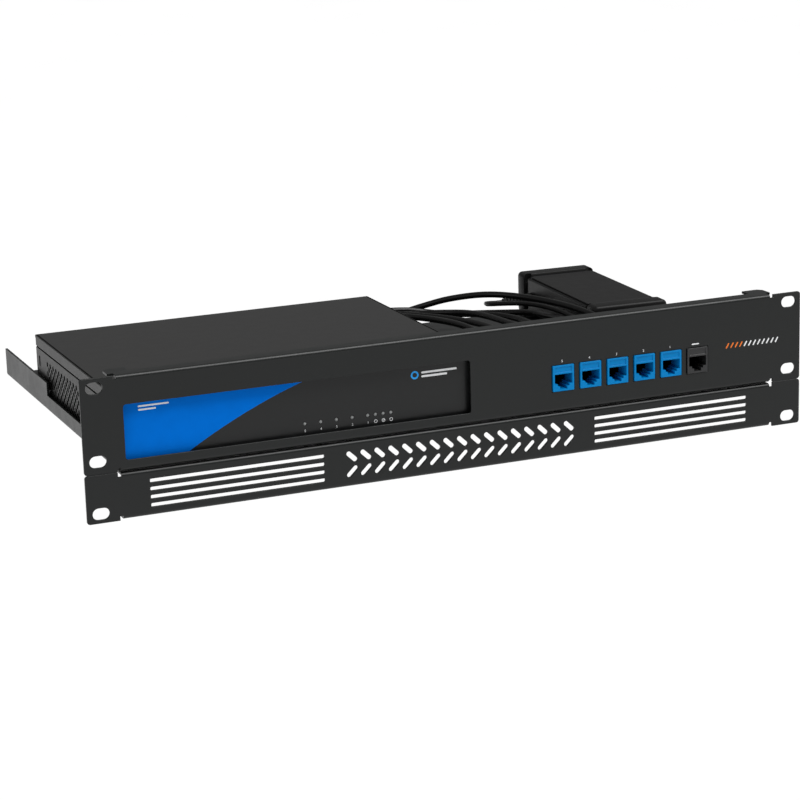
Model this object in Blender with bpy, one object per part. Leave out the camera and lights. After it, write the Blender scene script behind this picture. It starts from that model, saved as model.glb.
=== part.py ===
"""A desktop firewall carried in a 19-inch rack tray, with its front couplers, patch leads and power adapter.

Frame: +X to the right and +Y to the rear as seen from the front, +Z up.
The origin is on the rack rails' front plane, midway between the ears, on the bottom line of the 2U space.
Sizes are written in millimetres and turned into metres by MM.
"""

import bmesh
import bpy
from math import cos, pi, radians, sin
from mathutils import Matrix, Vector

MM = 0.001

# Rack front, from the 19-inch standard and the two-unit height
RACK_HALF = 241.3
SLOT_X = 232.55
SLOT_LONG = 10.5
SLOT_TALL = 7.2
SHEET = 1.5
FRONT = -SHEET
BEND = 2.2
FLANGE_HALF = 219.5
NOTCH_HALF = 221.1
NOTCH_TALL = 1.9
CORNER = 1.8
GAP = 0.3

# Upper panel, part of the tray
TRAY_Z0 = 30.5
TRAY_Z1 = 88.6
TRAY_SLOTS = (38.1, 82.55)
FLANGE_BACK = 8.5
TAB_IN = 208.5
TAB_OUT = 222.5
TAB_BACK = 17.0
WALL_OUT = 221.2
WALL_LOW = 41.0
WALL_HIGH = 49.5
WALL_STEP_Y = 156.0
FLOOR_FRONT = 12.0
TRAY_BACK = 264.0
FLOOR_TOP = TRAY_Z0 + SHEET

# Lower filler panel
LOWER_EAR_Z = (0.6, 30.2)
LOWER_Z = (1.1, 29.5)
LOWER_BACK = 8.0
LOWER_SLOT_Z = 6.35
VENT_IN = 91.6
VENT_OUT = 201.8
VENT_TALL = 2.3
VENT_CORNER = 0.7
VENT_PITCH = 5.0
VENT_FIRST_Z = 7.45
CHEVRON_COUNT = 17
CHEVRON_PITCH = 9.2
CHEVRON_LEAN = 4.2
CHEVRON_WIDTH = 3.0
CHEVRON_LEVELS = ((7.0, 14.0), (16.4, 23.4))

# Device window and device box
WINDOW_X = (-215.7, 6.4)
WINDOW_Z = (37.0, 70.7)
BOX_X = (-217.5, 16.5)
BOX_Z = (34.2, 73.3)
SEAM_Z = 66.5
PLATE_Y = (3.0, 5.5)
BOX_Y = (5.8, 192.2)
CASE_SHEET = 1.0
REAR_PANEL_Y = (190.8, 191.8)
LIP_Y = (192.1, 193.1)
LIP_LOW = 61.0
JACK_FACE = 192.6
JACK_BACK = 176.0
JACK_Z = (42.0, 55.5)
PORT_Z = 48.6
PORT_WIDE = 12.2
PORT_TALL = 7.0
PORT_DEEP = 13.0
LAN_X = (-20.0, -36.0, -52.0, -68.0, -84.0)
CONSOLE_X = -106.0
DC_X = 3.0
USB_X = -132.0
RESET_X = -150.0
POWER_X = -166.0
LED_Z = 43.15
LED_X = (-101.7, -91.4, -81.2, -70.9, -60.7, -55.6, -50.5, -45.4)
BOARD_Z = (40.0, 41.6)
POST_X = (-205.0, 4.0)
POST_Y = (36.0, 168.0)
USB_LEVELS = (43.6, 50.8)
USB_TOP = 58.0
DC_TOP = 54.5
FOOT_X = (-200.0, 0.0)
FOOT_Y = (22.0, 175.0)
LID_SCREW_X = (-195.0, 8.0)
LID_SCREW_Z = 65.0

# Angles that hold the device, screwed to the tray's floor
BRACKET_TOP = 58.0
SIDE_SCREW_AT = (24.0, 110.0)
REAR_SCREW_AT = (-187.0, 202.0)
SCREW_HOLE_R = 2.2
SIDE_BRACKET_X1 = 29.5
SIDE_BRACKET_Y = (98.0, 122.0)
REAR_BRACKET_Y1 = 209.0
REAR_BRACKET_X = (-199.0, -175.0)

# Keystone couplers
COUPLER_X = (69.8, 88.9, 108.0, 127.1, 146.2, 165.3)
COUPLER_NAMES = ("5", "4", "3", "2", "1", "console")
COUPLER_WIDE = 15.3
COUPLER_Z = (43.5, 60.1)
COUPLER_FRONT = -2.3
COUPLER_BACK = 33.0
SOCKET_Z = 51.25
SOCKET_WIDE = 12.2
SOCKET_TALL = 6.4
SOCKET_DEEP = 14.0
LABEL_Z = (55.6, 59.0)

# Patch leads and plugs
LEAD_R = 2.2
PLUG_IN = 12.0
PLUG_OUT = 21.0
PLUG_WIDE = 11.5
PLUG_TALL = 5.8

# Power adapter, turned a little about its front left corner
ADAPTER_AT = (157.0, 125.0)
ADAPTER_TURN = radians(-2.6)
ADAPTER_WIDE = 53.0
ADAPTER_LONG = 137.0
CAP_LONG = 17.0
CAP_PROUD = 1.2
ADAPTER_Z = (34.0, 61.6)
ADAPTER_WALL = 2.0
INLET_HALF = 13.4
INLET_Z = (37.8, 57.8)
INLET_WALL = 1.8
RELIEF_AT = 113.0
RELIEF_LONG = 23.0
RELIEF_Z = 46.5
DC_R = 1.7

FLOOR_LINE = FLOOR_TOP + GAP + DC_R
LEAD_START_Y = COUPLER_BACK + PLUG_OUT + GAP
LEAD_END_Y = JACK_FACE + PLUG_OUT + GAP
DEVICE_PORT_X = (*LAN_X, CONSOLE_X)


# ---------------------------------------------------------------- helpers


def clear_scene():
    for item in list(bpy.data.objects):
        bpy.data.objects.remove(item, do_unlink=True)


def material(name, color, roughness, metallic=0.0):
    made = bpy.data.materials.get(name)
    if made:
        return made
    made = bpy.data.materials.new(name)
    made.use_nodes = True
    shader = made.node_tree.nodes["Principled BSDF"]
    shader.inputs["Base Color"].default_value = (*color, 1.0)
    shader.inputs["Roughness"].default_value = roughness
    shader.inputs["Metallic"].default_value = metallic
    made.diffuse_color = (*color, 1.0)
    return made


def black_steel():
    return material("black_steel", (0.03, 0.032, 0.032), 0.55)


def dark_steel():
    return material("dark_steel", (0.06, 0.06, 0.058), 0.5)


def dark_plastic():
    return material("dark_plastic", (0.018, 0.018, 0.02), 0.45)


def blue_plastic():
    return material("blue_plastic", (0.0, 0.18, 0.62), 0.4)


def jacket():
    return material("black_jacket", (0.012, 0.012, 0.013), 0.5)


def zinc():
    return material("zinc_steel", (0.55, 0.55, 0.53), 0.35, 1.0)


def rubber():
    return material("black_rubber", (0.015, 0.015, 0.015), 0.8)


def add(name, mesh, look=None):
    made = bpy.data.objects.new(name, mesh)
    bpy.context.scene.collection.objects.link(made)
    if look:
        mesh.materials.clear()
        mesh.materials.append(look)
    return made


def mesh_from(points, faces):
    """A closed mesh from points in millimetres, with its faces turned outwards."""
    mesh = bpy.data.meshes.new("solid")
    mesh.from_pydata([[value * MM for value in point] for point in points], [], faces)
    work = bmesh.new()
    work.from_mesh(mesh)
    bmesh.ops.recalc_face_normals(work, faces=work.faces)
    work.to_mesh(mesh)
    work.free()
    return mesh


def place(axis, u, v, w):
    """A point from its two outline coordinates and its distance along the axis."""
    if axis == "X":
        return (w, u, v)
    if axis == "Y":
        return (u, w, v)
    return (u, v, w)


def prism(name, outline, low, high, axis="Y", look=None):
    """An outline, without holes, swept along an axis from low to high."""
    count = len(outline)
    points = [place(axis, u, v, low) for u, v in outline]
    points += [place(axis, u, v, high) for u, v in outline]
    faces = [tuple(range(count)), tuple(range(2 * count - 1, count - 1, -1))]
    faces += [(k, (k + 1) % count, count + (k + 1) % count, count + k) for k in range(count)]
    return add(name, mesh_from(points, faces), look)


def box(name, x, y, z, look=None):
    return prism(name, [(x[0], z[0]), (x[1], z[0]), (x[1], z[1]), (x[0], z[1])], y[0], y[1], "Y", look)


def arc(u, v, r, start, end, steps):
    """Points on an arc about (u, v), with its angles in degrees."""
    turn = [radians(start + (end - start) * k / steps) for k in range(steps + 1)]
    return [(u + r * cos(t), v + r * sin(t)) for t in turn]


def round_rect(u, v, r, steps=3):
    """A rectangle's outline with round corners; u and v are its (low, high) pairs."""
    return (
        arc(u[1] - r, v[1] - r, r, 0, 90, steps)
        + arc(u[0] + r, v[1] - r, r, 90, 180, steps)
        + arc(u[0] + r, v[0] + r, r, 180, 270, steps)
        + arc(u[1] - r, v[0] + r, r, 270, 360, steps)
    )


def capsule(start, end, wide, steps=3):
    """An outline with half-round ends about a straight line from start to end."""
    run = Vector(end) - Vector(start)
    lean = Vector((1, 0)).angle_signed(run) * -180 / pi
    r = wide / 2
    return arc(*end, r, lean - 90, lean + 90, steps) + arc(*start, r, lean + 90, lean + 270, steps)


def loft(name, sections, look=None):
    """A solid through rings of equal point counts, closed by a face at each end."""
    count = len(sections[0])
    points = [point for ring in sections for point in ring]
    faces = [tuple(range(count)), tuple(range(len(points) - count, len(points)))]
    for ring in range(len(sections) - 1):
        base = ring * count
        for k in range(count):
            step = (k + 1) % count
            faces.append((base + k, base + step, base + count + step, base + count + k))
    return add(name, mesh_from(points, faces), look)


def turned(name, profile, centre, axis="Y", steps=12, look=None):
    """A solid turned about an axis through centre; profile lists (distance along it, radius)."""
    rings = []
    for along, radius in profile:
        ring = arc(0, 0, radius, 0, 360 * (steps - 1) / steps, steps - 1)
        rings.append([tuple(Vector(place(axis, u, v, along)) + Vector(centre)) for u, v in ring])
    return loft(name, rings, look)


def boolean(target, tools, operation):
    """Joins the tools to the target, or cuts them from it, and removes them."""
    for tool in tools:
        change = target.modifiers.new("change", "BOOLEAN")
        change.operation = operation
        change.solver = "EXACT"
        change.object = tool
    bpy.context.view_layer.update()
    shape = bpy.data.meshes.new_from_object(target.evaluated_get(bpy.context.evaluated_depsgraph_get()))
    look = target.data.materials[0] if target.data.materials else None
    target.modifiers.clear()
    target.data = shape
    if look:
        shape.materials.clear()
        shape.materials.append(look)
    for tool in tools:
        bpy.data.objects.remove(tool, do_unlink=True)
    return target


def joined(pieces):
    """Cutters that don't meet, gathered into one object so that one cut does them all."""
    mesh = bpy.data.meshes.new("cutters")
    work = bmesh.new()
    for piece in pieces:
        work.from_mesh(piece.data)
        bpy.data.objects.remove(piece, do_unlink=True)
    work.to_mesh(mesh)
    work.free()
    return add("cutters", mesh)


def union(target, tools):
    return boolean(target, tools, "UNION")


def cut(target, cutters):
    return boolean(target, [joined(cutters)], "DIFFERENCE")


def smooth(item, angle=35):
    item.data.shade_smooth()
    item.data.set_sharp_from_angle(angle=radians(angle))
    return item


# ---------------------------------------------------------------- rack sheet metal


def sheet_section(z0, z1, back_low, back_high):
    """The side view of a front panel whose top and bottom are bent back, as (y, z) points."""
    inner = BEND - SHEET
    outside = [(back_high, z1)] + arc(FRONT + BEND, z1 - BEND, BEND, 90, 180, 4)
    outside += arc(FRONT + BEND, z0 + BEND, BEND, 180, 270, 4) + [(back_low, z0)]
    inside = [(back_low, z0 + SHEET)] + arc(FRONT + BEND, z0 + BEND, inner, 270, 180, 3)
    inside += arc(FRONT + BEND, z1 - BEND, inner, 180, 90, 3) + [(back_high, z1 - SHEET)]
    return outside + inside


def ear(side, ear_z, sheet_z):
    """A flat ear with round outer corners, reaching into the panel between the relief notches."""
    r = CORNER
    z0, z1 = ear_z
    inside = FLANGE_HALF - 2
    low, high = sheet_z[0] + BEND, sheet_z[1] - BEND
    outline = [(inside, low), (FLANGE_HALF, low), (FLANGE_HALF, z0 + NOTCH_TALL)]
    outline += [(NOTCH_HALF, z0 + NOTCH_TALL), (NOTCH_HALF, z0)]
    outline += arc(RACK_HALF - r, z0 + r, r, 270, 360, 3) + arc(RACK_HALF - r, z1 - r, r, 0, 90, 3)
    outline += [(NOTCH_HALF, z1), (NOTCH_HALF, z1 - NOTCH_TALL)]
    outline += [(FLANGE_HALF, z1 - NOTCH_TALL), (FLANGE_HALF, high), (inside, high)]
    return prism("ear", [(side * x, z) for x, z in outline], FRONT, 0, "Y")


def rack_slots(levels):
    """Cutters for the oblong rack screw slots in both ears."""
    half = (SLOT_LONG - SLOT_TALL) / 2
    cutters = []
    for side in (-1, 1):
        for z in levels:
            outline = capsule((side * SLOT_X - half, z), (side * SLOT_X + half, z), SLOT_TALL, 5)
            cutters.append(prism("slot", outline, FRONT - 3, 3, "Y"))
    return cutters


def tray_trough():
    """The tray's floor with its two side walls, open at both ends, and lower towards the front."""
    r = BEND
    left = arc(-WALL_OUT + r, TRAY_Z0 + r, r, 180, 270, 3)
    right = arc(WALL_OUT - r, TRAY_Z0 + r, r, 270, 360, 3)
    inner = r - SHEET
    right_in = arc(WALL_OUT - r, TRAY_Z0 + r, inner, 360, 270, 2)
    left_in = arc(-WALL_OUT + r, TRAY_Z0 + r, inner, 270, 180, 2)
    outline = [(-WALL_OUT, WALL_HIGH)] + left + right + [(WALL_OUT, WALL_HIGH)]
    outline += [(WALL_OUT - SHEET, WALL_HIGH)] + right_in + left_in + [(-WALL_OUT + SHEET, WALL_HIGH)]
    return prism("trough", outline, 1.0, TRAY_BACK, "Y")


def rack_tray():
    """Front panel, top flange, floor and side walls, bent and joined as one sheet-metal piece."""
    look = black_steel()
    section = sheet_section(TRAY_Z0, TRAY_Z1, FLOOR_FRONT, FLANGE_BACK)
    tray = prism("rack_tray", section, -FLANGE_HALF, FLANGE_HALF, "X", look)
    tabs = []
    for side in (-1, 1):
        x = sorted((side * TAB_IN, side * TAB_OUT))
        tabs.append(box("tab", x, (FLANGE_BACK - 3.5, TAB_BACK), (TRAY_Z1 - SHEET, TRAY_Z1)))
    ears = [ear(side, (TRAY_Z0, TRAY_Z1), (TRAY_Z0, TRAY_Z1)) for side in (-1, 1)]
    union(tray, [tray_trough()] + ears + tabs)
    cutters = rack_slots(TRAY_SLOTS)
    for side in (-1, 1):
        x = sorted((side * (WALL_OUT - 6), side * (WALL_OUT + 4)))
        cutters.append(box("step", x, (0.5, WALL_STEP_Y), (WALL_LOW, WALL_HIGH + 5)))
    cutters.append(prism("window", round_rect(WINDOW_X, WINDOW_Z, 1.8), FRONT - 3, 3, "Y"))
    for x in COUPLER_X:
        half = COUPLER_WIDE / 2 + GAP
        sides = (COUPLER_Z[0] - GAP, COUPLER_Z[1] + GAP)
        cutters.append(box("aperture", (x - half, x + half), (FRONT - 3, 3), sides))
    for x, y in (SIDE_SCREW_AT, REAR_SCREW_AT):
        bore = [(TRAY_Z0 - 3, SCREW_HOLE_R), (FLOOR_TOP + 3, SCREW_HOLE_R)]
        cutters.append(turned("screw_hole", bore, (x, y, 0), "Z"))
    return smooth(cut(tray, cutters))


def chevron_cutters():
    """A band of two-part chevrons with rounded strokes, split by a web at mid height."""
    cutters = []
    first = -CHEVRON_PITCH * (CHEVRON_COUNT - 1) / 2
    half = CHEVRON_WIDTH / 2
    for k in range(CHEVRON_COUNT):
        x = first + k * CHEVRON_PITCH
        for level, (low, high) in enumerate(CHEVRON_LEVELS):
            lean = CHEVRON_LEAN / 2 if level == 0 else -CHEVRON_LEAN / 2
            outline = capsule((x - lean, low + half), (x + lean, high - half), CHEVRON_WIDTH)
            cutters.append(prism("chevron", outline, FRONT - 3, 3, "Y"))
    return cutters


def lower_vent_panel():
    """The narrow filler panel under the tray, with slots at both ends and a chevron band between."""
    look = black_steel()
    section = sheet_section(*LOWER_Z, LOWER_BACK, LOWER_BACK)
    panel = prism("lower_vent_panel", section, -FLANGE_HALF, FLANGE_HALF, "X", look)
    union(panel, [ear(-1, LOWER_EAR_Z, LOWER_Z), ear(1, LOWER_EAR_Z, LOWER_Z)])
    cutters = rack_slots([LOWER_SLOT_Z]) + chevron_cutters()
    half = VENT_TALL / 2
    for side in (-1, 1):
        for row in range(4):
            z = VENT_FIRST_Z + row * VENT_PITCH
            outline = round_rect((VENT_IN, VENT_OUT), (z - half, z + half), VENT_CORNER, 2)
            cutters.append(prism("vent", [(side * u, v) for u, v in outline], FRONT - 3, 3, "Y"))
    return smooth(cut(panel, cutters))


# ---------------------------------------------------------------- couplers and plugs


def stepped_socket(x, z, y0, y1):
    """Cutter for a modular socket: a wide mouth and two steps that clear the plug's latch."""
    wide = SOCKET_WIDE / 2
    tall = SOCKET_TALL / 2
    outline = [(-wide, tall), (-wide, -tall), (-4.0, -tall), (-4.0, -tall - 1.5), (-2.5, -tall - 1.5)]
    outline += [(-2.5, -tall - 3.3), (2.5, -tall - 3.3), (2.5, -tall - 1.5), (4.0, -tall - 1.5)]
    outline += [(4.0, -tall), (wide, -tall), (wide, tall)]
    return prism("socket", [(x + u, z + v) for u, v in outline], y0, y1, "Y")


def coupler(name, x, look):
    """An in-line coupler: front face in the panel, body behind it, hooks, and a socket at each end."""
    half = COUPLER_WIDE / 2
    body = box(name, (x - half, x + half), (COUPLER_FRONT, 9.0), COUPLER_Z, look)
    rear = box("rear", (x - 7.2, x + 7.2), (8.0, COUPLER_BACK), (44.2, 58.6))
    low, high = COUPLER_Z
    hook = [(GAP, high - 1), (GAP, high + 1.6), (1.5, high + 1.6), (7.0, high - 1)]
    upper = prism("hook", hook, x - 4, x + 4, "X")
    lip = [(GAP, low + 1), (GAP, low - 1.4), (2.5, low - 1.4), (4.0, low + 1)]
    lower = prism("lip", lip, x - 5, x + 5, "X")
    union(body, [rear, upper, lower])
    label = box("label", (x - 5.8, x + 5.8), (COUPLER_FRONT - 1, COUPLER_FRONT + 0.4), LABEL_Z)
    front = stepped_socket(x, SOCKET_Z, COUPLER_FRONT - 1, COUPLER_FRONT + SOCKET_DEEP)
    back = stepped_socket(x, SOCKET_Z, COUPLER_BACK - SOCKET_DEEP, COUPLER_BACK + 1)
    return cut(body, [label, front, back])


def plug(name, x, z, mouth, look):
    """A modular plug with its boot; its nose sits inside a socket whose mouth is at y = mouth."""
    shapes = (
        (-PLUG_IN, PLUG_WIDE, PLUG_TALL),
        (0.8, PLUG_WIDE, PLUG_TALL),
        (1.2, 12.6, 8.4),
        (8.0, 12.4, 8.2),
        (12.0, 8.6, 7.2),
        (PLUG_OUT, 6.0, 6.0),
    )
    rings = []
    for along, wide, tall in shapes:
        r = min(wide, tall) * 0.28
        outline = round_rect((-wide / 2, wide / 2), (-tall / 2, tall / 2), r, 1)
        rings.append([(x + u, mouth + along, z + v) for u, v in outline])
    return loft(name, rings, look)


# ---------------------------------------------------------------- device


def channel(name, x, y, z0, z1, top_open, look):
    """A U-shaped sheet-metal channel along Y, open upwards or downwards."""
    t = CASE_SHEET
    low, high = (z0, z1) if top_open else (z1, z0)
    step = t if top_open else -t
    outline = [(x[0], high), (x[0], low), (x[1], low), (x[1], high)]
    outline += [(x[1] - t, high), (x[1] - t, low + step), (x[0] + t, low + step), (x[0] + t, high)]
    return prism(name, outline, y[0], y[1], "Y", look)


def device_base():
    base = channel("device_base", BOX_X, BOX_Y, BOX_Z[0], SEAM_Z - GAP, True, dark_steel())
    posts = []
    for x in POST_X:
        for y in POST_Y:
            profile = [(BOX_Z[0] + 0.5, 3.0), (BOARD_Z[0] - GAP, 3.0)]
            posts.append(turned("post", profile, (x, y, 0), "Z", 8))
    union(base, posts)
    lock = box("lock", (BOX_X[0] - 2, BOX_X[0] + 2), (183.0, 186.0), (54.0, 61.0))
    return cut(base, [lock])


def device_lid():
    lid = channel("device_lid", BOX_X, (BOX_Y[0], LIP_Y[1]), SEAM_Z, BOX_Z[1], False, dark_steel())
    lip_x = (BOX_X[0] + CASE_SHEET + GAP, BOX_X[1] - CASE_SHEET - GAP)
    lip = box("lip", lip_x, LIP_Y, (LIP_LOW, BOX_Z[1] - 0.5))
    notches = []
    for x in (BOX_X[0], BOX_X[1]):
        notch_y = (BOX_Y[1], LIP_Y[1] + 1)
        notches.append(box("notch", (x - 1.3, x + 1.3), notch_y, (SEAM_Z - 1, BOX_Z[1] - 2)))
    cut(lid, notches)
    union(lid, [lip])
    holes = [screw_hole(x, LIP_Y) for x in LID_SCREW_X]
    return cut(lid, holes)


def screw_hole(x, y):
    return turned("hole", [(y[0] - 2, 1.7), (y[1] + 2, 1.7)], (x, 0, LID_SCREW_Z), "Y", 10)


def device_faceplate():
    plate = prism("device_faceplate", round_rect(BOX_X, BOX_Z, 2.0, 2), *PLATE_Y, "Y", dark_plastic())
    holes = []
    bore = [(PLATE_Y[0] - 2, 1.2), (PLATE_Y[1] + 2, 1.2)]
    for x in LED_X:
        holes.append(turned("led_hole", bore, (x, 0, LED_Z), "Y", 8))
    return cut(plate, holes)


def light_pipe():
    look = material("clear_light_pipe", (0.8, 0.82, 0.85), 0.2)
    bar = box("light_pipe", (LED_X[0] - 3, LED_X[-1] + 3), (7.0, 11.0), (LED_Z - 2, LED_Z + 2), look)
    prongs = [turned("prong", [(PLATE_Y[0] + 0.1, 0.85), (8.0, 0.85)], (x, 0, LED_Z), "Y", 8) for x in LED_X]
    return union(bar, prongs)


def rear_panel():
    x = (BOX_X[0] + CASE_SHEET + GAP, BOX_X[1] - CASE_SHEET - GAP)
    z = (BOX_Z[0] + CASE_SHEET + GAP, BOX_Z[1] - CASE_SHEET - GAP)
    panel = box("device_rear_panel", x, REAR_PANEL_Y, z, dark_steel())
    through = (REAR_PANEL_Y[0] - 2, REAR_PANEL_Y[1] + 2)
    jack = (JACK_Z[0] - GAP, JACK_Z[1] + GAP)
    cutters = [
        box("lan", (LAN_X[-1] - 8 - GAP, LAN_X[0] + 8 + GAP), through, jack),
        box("console", (CONSOLE_X - 8 - GAP, CONSOLE_X + 8 + GAP), through, jack),
        box("usb", (USB_X - 7.2 - GAP, USB_X + 7.2 + GAP), through, (JACK_Z[0] - GAP, USB_TOP + GAP)),
        box("dc", (DC_X - 5 - GAP, DC_X + 5 + GAP), through, (JACK_Z[0] - GAP, DC_TOP + GAP)),
        turned("power", [(through[0], 4.4), (through[1], 4.4)], (POWER_X, 0, PORT_Z), "Y", 16),
        turned("reset", [(through[0], 1.3), (through[1], 1.3)], (RESET_X, 0, PORT_Z), "Y", 8),
    ]
    cutters += [screw_hole(x, REAR_PANEL_Y) for x in LID_SCREW_X]
    return cut(panel, cutters)


def port_cutter(x):
    half = PORT_WIDE / 2
    mouth = (JACK_FACE - PORT_DEEP, JACK_FACE + 1)
    return box("port", (x - half, x + half), mouth, (PORT_Z - PORT_TALL / 2, PORT_Z + PORT_TALL / 2))


def jacks():
    steel = zinc()
    block = box("lan_jack_block", (LAN_X[-1] - 8, LAN_X[0] + 8), (JACK_BACK, JACK_FACE), JACK_Z, steel)
    cut(block, [port_cutter(x) for x in LAN_X])
    console = box("console_jack", (CONSOLE_X - 8, CONSOLE_X + 8), (JACK_BACK, JACK_FACE), JACK_Z, steel)
    cut(console, [port_cutter(CONSOLE_X)])
    usb = box("usb_socket", (USB_X - 7.2, USB_X + 7.2), (JACK_BACK, JACK_FACE), (JACK_Z[0], USB_TOP), steel)
    mouth = (JACK_FACE - 12, JACK_FACE + 1)
    slots = [box("slot", (USB_X - 6.2, USB_X + 6.2), mouth, (z, z + 5.4)) for z in USB_LEVELS]
    cut(usb, slots)
    dc_y = (JACK_BACK + 2, JACK_FACE)
    dc = box("dc_jack", (DC_X - 5, DC_X + 5), dc_y, (JACK_Z[0], DC_TOP), dark_plastic())
    cut(dc, [turned("bore", [(JACK_FACE - 10.5, 3.2), (JACK_FACE + 1, 3.2)], (DC_X, 0, PORT_Z), "Y", 12)])


def buttons():
    """Two sprung buttons on the rear: a power button that stands proud, and a recessed reset button."""
    power = [(183.0, 3.0), (189.6, 3.0), (189.6, 4.0), (193.8, 4.0), (194.4, 3.4)]
    turned("power_button", power, (POWER_X, 0, PORT_Z), "Y", 16, dark_plastic())
    reset = [(183.0, 1.5), (188.5, 1.5), (188.5, 0.9), (191.2, 0.9)]
    turned("reset_button", reset, (RESET_X, 0, PORT_Z), "Y", 8, dark_plastic())
    for name, x in (("power_switch", POWER_X), ("reset_switch", RESET_X)):
        box(name, (x - 3.2, x + 3.2), (175.0, 181.3), (JACK_Z[0], 52.0), dark_plastic())


def circuit_board():
    look = material("green_board", (0.02, 0.12, 0.05), 0.5)
    return box("circuit_board", (-210.0, 10.0), (28.0, 189.5), BOARD_Z, look)


def heat_sink():
    """A finned block on the board: a base plate and upright fins, as one comb-shaped extrusion."""
    look = material("anodised_aluminium", (0.25, 0.26, 0.27), 0.4, 1.0)
    low = BOARD_Z[1] + GAP
    outline = [(-150.0, low), (-80.0, low)]
    for k in range(9):
        right = -80.0 - k * 8.5
        outline += [(right, low + 18), (right - 2, low + 18)]
        if k < 8:
            outline += [(right - 2, low + 4), (right - 8.5, low + 4)]
    outline[-1] = (-150.0, low + 18)
    return prism("heat_sink", outline, 60.0, 130.0, "Y", look)


def feet():
    names = (("front_left", 0, 0), ("front_right", 1, 0), ("rear_left", 0, 1), ("rear_right", 1, 1))
    profile = [(FLOOR_TOP + GAP, 5.4), (FLOOR_TOP + GAP + 0.5, 6.0), (BOX_Z[0] - GAP, 6.0)]
    for name, column, row in names:
        turned("foot_" + name, profile, (FOOT_X[column], FOOT_Y[row], 0), "Z", 12, rubber())


# ---------------------------------------------------------------- fasteners and brackets


def pan_screw(name, head, shank, centre, axis):
    """A pan-head screw; head and shank are (radius, length), and the head's underside is at 0."""
    profile = [(-shank[1], shank[0]), (0.0, shank[0]), (0.0, head[0])]
    profile += [(head[1] * 0.6, head[0]), (head[1], head[0] * 0.6)]
    return turned(name, profile, centre, axis, 10, zinc())


def screws():
    for name, x in (("left", LID_SCREW_X[0]), ("right", LID_SCREW_X[1])):
        pan_screw("lid_screw_" + name, (2.7, 1.6), (1.35, 4.5), (x, LIP_Y[1] + GAP, LID_SCREW_Z), "Y")
    top = FLOOR_TOP + 2 * GAP + SHEET
    pan_screw("side_bracket_screw", (3.6, 2.2), (1.8, 5.5), (*SIDE_SCREW_AT, top), "Z")
    pan_screw("rear_bracket_screw", (3.6, 2.2), (1.8, 5.5), (*REAR_SCREW_AT, top), "Z")


def angle_outline(near, far):
    """The section of a small angle: a foot from near to far on the tray, and an upright leg at near."""
    low = FLOOR_TOP + GAP
    foot = [(near, low), (far, low), (far, low + SHEET), (near + SHEET, low + SHEET)]
    return foot + [(near + SHEET, BRACKET_TOP), (near, BRACKET_TOP)]


def bracket(name, near, far, run, axis, hole_at):
    piece = prism(name, angle_outline(near, far), *run, axis, black_steel())
    bore = [(FLOOR_TOP - 2, SCREW_HOLE_R), (FLOOR_TOP + 4, SCREW_HOLE_R)]
    cut(piece, [turned("hole", bore, (*hole_at, 0), "Z", 10)])


def brackets():
    """Two small angles screwed to the tray floor: one beside the device, one behind it."""
    clear = 0.5
    bracket("side_bracket", BOX_X[1] + clear, SIDE_BRACKET_X1, SIDE_BRACKET_Y, "Y", SIDE_SCREW_AT)
    bracket("rear_bracket", LIP_Y[1] + clear, REAR_BRACKET_Y1, REAR_BRACKET_X, "X", REAR_SCREW_AT)


# ---------------------------------------------------------------- adapter


def adapter_empty():
    """The adapter's own frame: its front left corner, with Y along its length."""
    frame = bpy.data.objects.new("adapter_frame", None)
    bpy.context.scene.collection.objects.link(frame)
    frame.location = (ADAPTER_AT[0] * MM, ADAPTER_AT[1] * MM, 0)
    frame.rotation_euler = (0, 0, ADAPTER_TURN)
    return frame


def sleeve_outline(grow, chamfer):
    """The adapter's cross-section as (x, z), grown outwards by a distance."""
    x = (-grow, ADAPTER_WIDE + grow)
    z = (ADAPTER_Z[0] - grow, ADAPTER_Z[1] + grow)
    return round_rect(x, z, chamfer, 2)


def scaled_ring(y, inset, grow, chamfer):
    return [(x, y, z) for x, z in sleeve_outline(grow - inset, max(chamfer - inset * 0.4, 0.8))]


def adapter_cap(name, y0, y1, outer, look):
    """An end cap: a rounded block whose outer end is drawn in, standing proud of the sleeve."""
    ends = (y0, y0 + 1.2, y1 - 1.2, y1)
    insets = (1.6, 0.0, 0.0, 0.6) if outer < 0 else (0.6, 0.0, 0.0, 1.6)
    rings = [scaled_ring(y, inset, CAP_PROUD, 3.2) for y, inset in zip(ends, insets)]
    return loft(name, rings, look)


def adapter_inlet(look):
    """The mains inlet in the rear cap: a walled recess with three flat pins."""
    middle = ADAPTER_WIDE / 2
    back = ADAPTER_LONG - 0.4
    inlet_x = (middle - INLET_HALF, middle + INLET_HALF)
    inlet = box("adapter_inlet", inlet_x, (back - 16.1, back), INLET_Z, look)
    half = INLET_HALF - INLET_WALL
    recess_z = (INLET_Z[0] + INLET_WALL, INLET_Z[1] - INLET_WALL)
    cut(inlet, [box("recess", (middle - half, middle + half), (back - 14.6, back + 2), recess_z)])
    pins = []
    for dx, dz in ((-7, -1.5), (0, 2.5), (7, -1.5)):
        x = middle + dx
        z = sum(INLET_Z) / 2 + dz
        pins.append(box("pin", (x - 1, x + 1), (back - 15.1, back - 5.6), (z - 2, z + 2)))
    return union(inlet, pins)


def adapter_inside():
    """The adapter's board with one tall block of parts on it."""
    look = material("tan_board", (0.3, 0.2, 0.08), 0.6)
    board_y = (CAP_LONG + 4, ADAPTER_LONG - CAP_LONG - 4)
    board = box("adapter_board", (8.0, ADAPTER_WIDE - 4), board_y, (38.5, 40.1), look)
    block = box("block", (14.0, ADAPTER_WIDE - 10), (44.0, 84.0), (39.5, 57.0))
    return union(board, [block])


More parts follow.
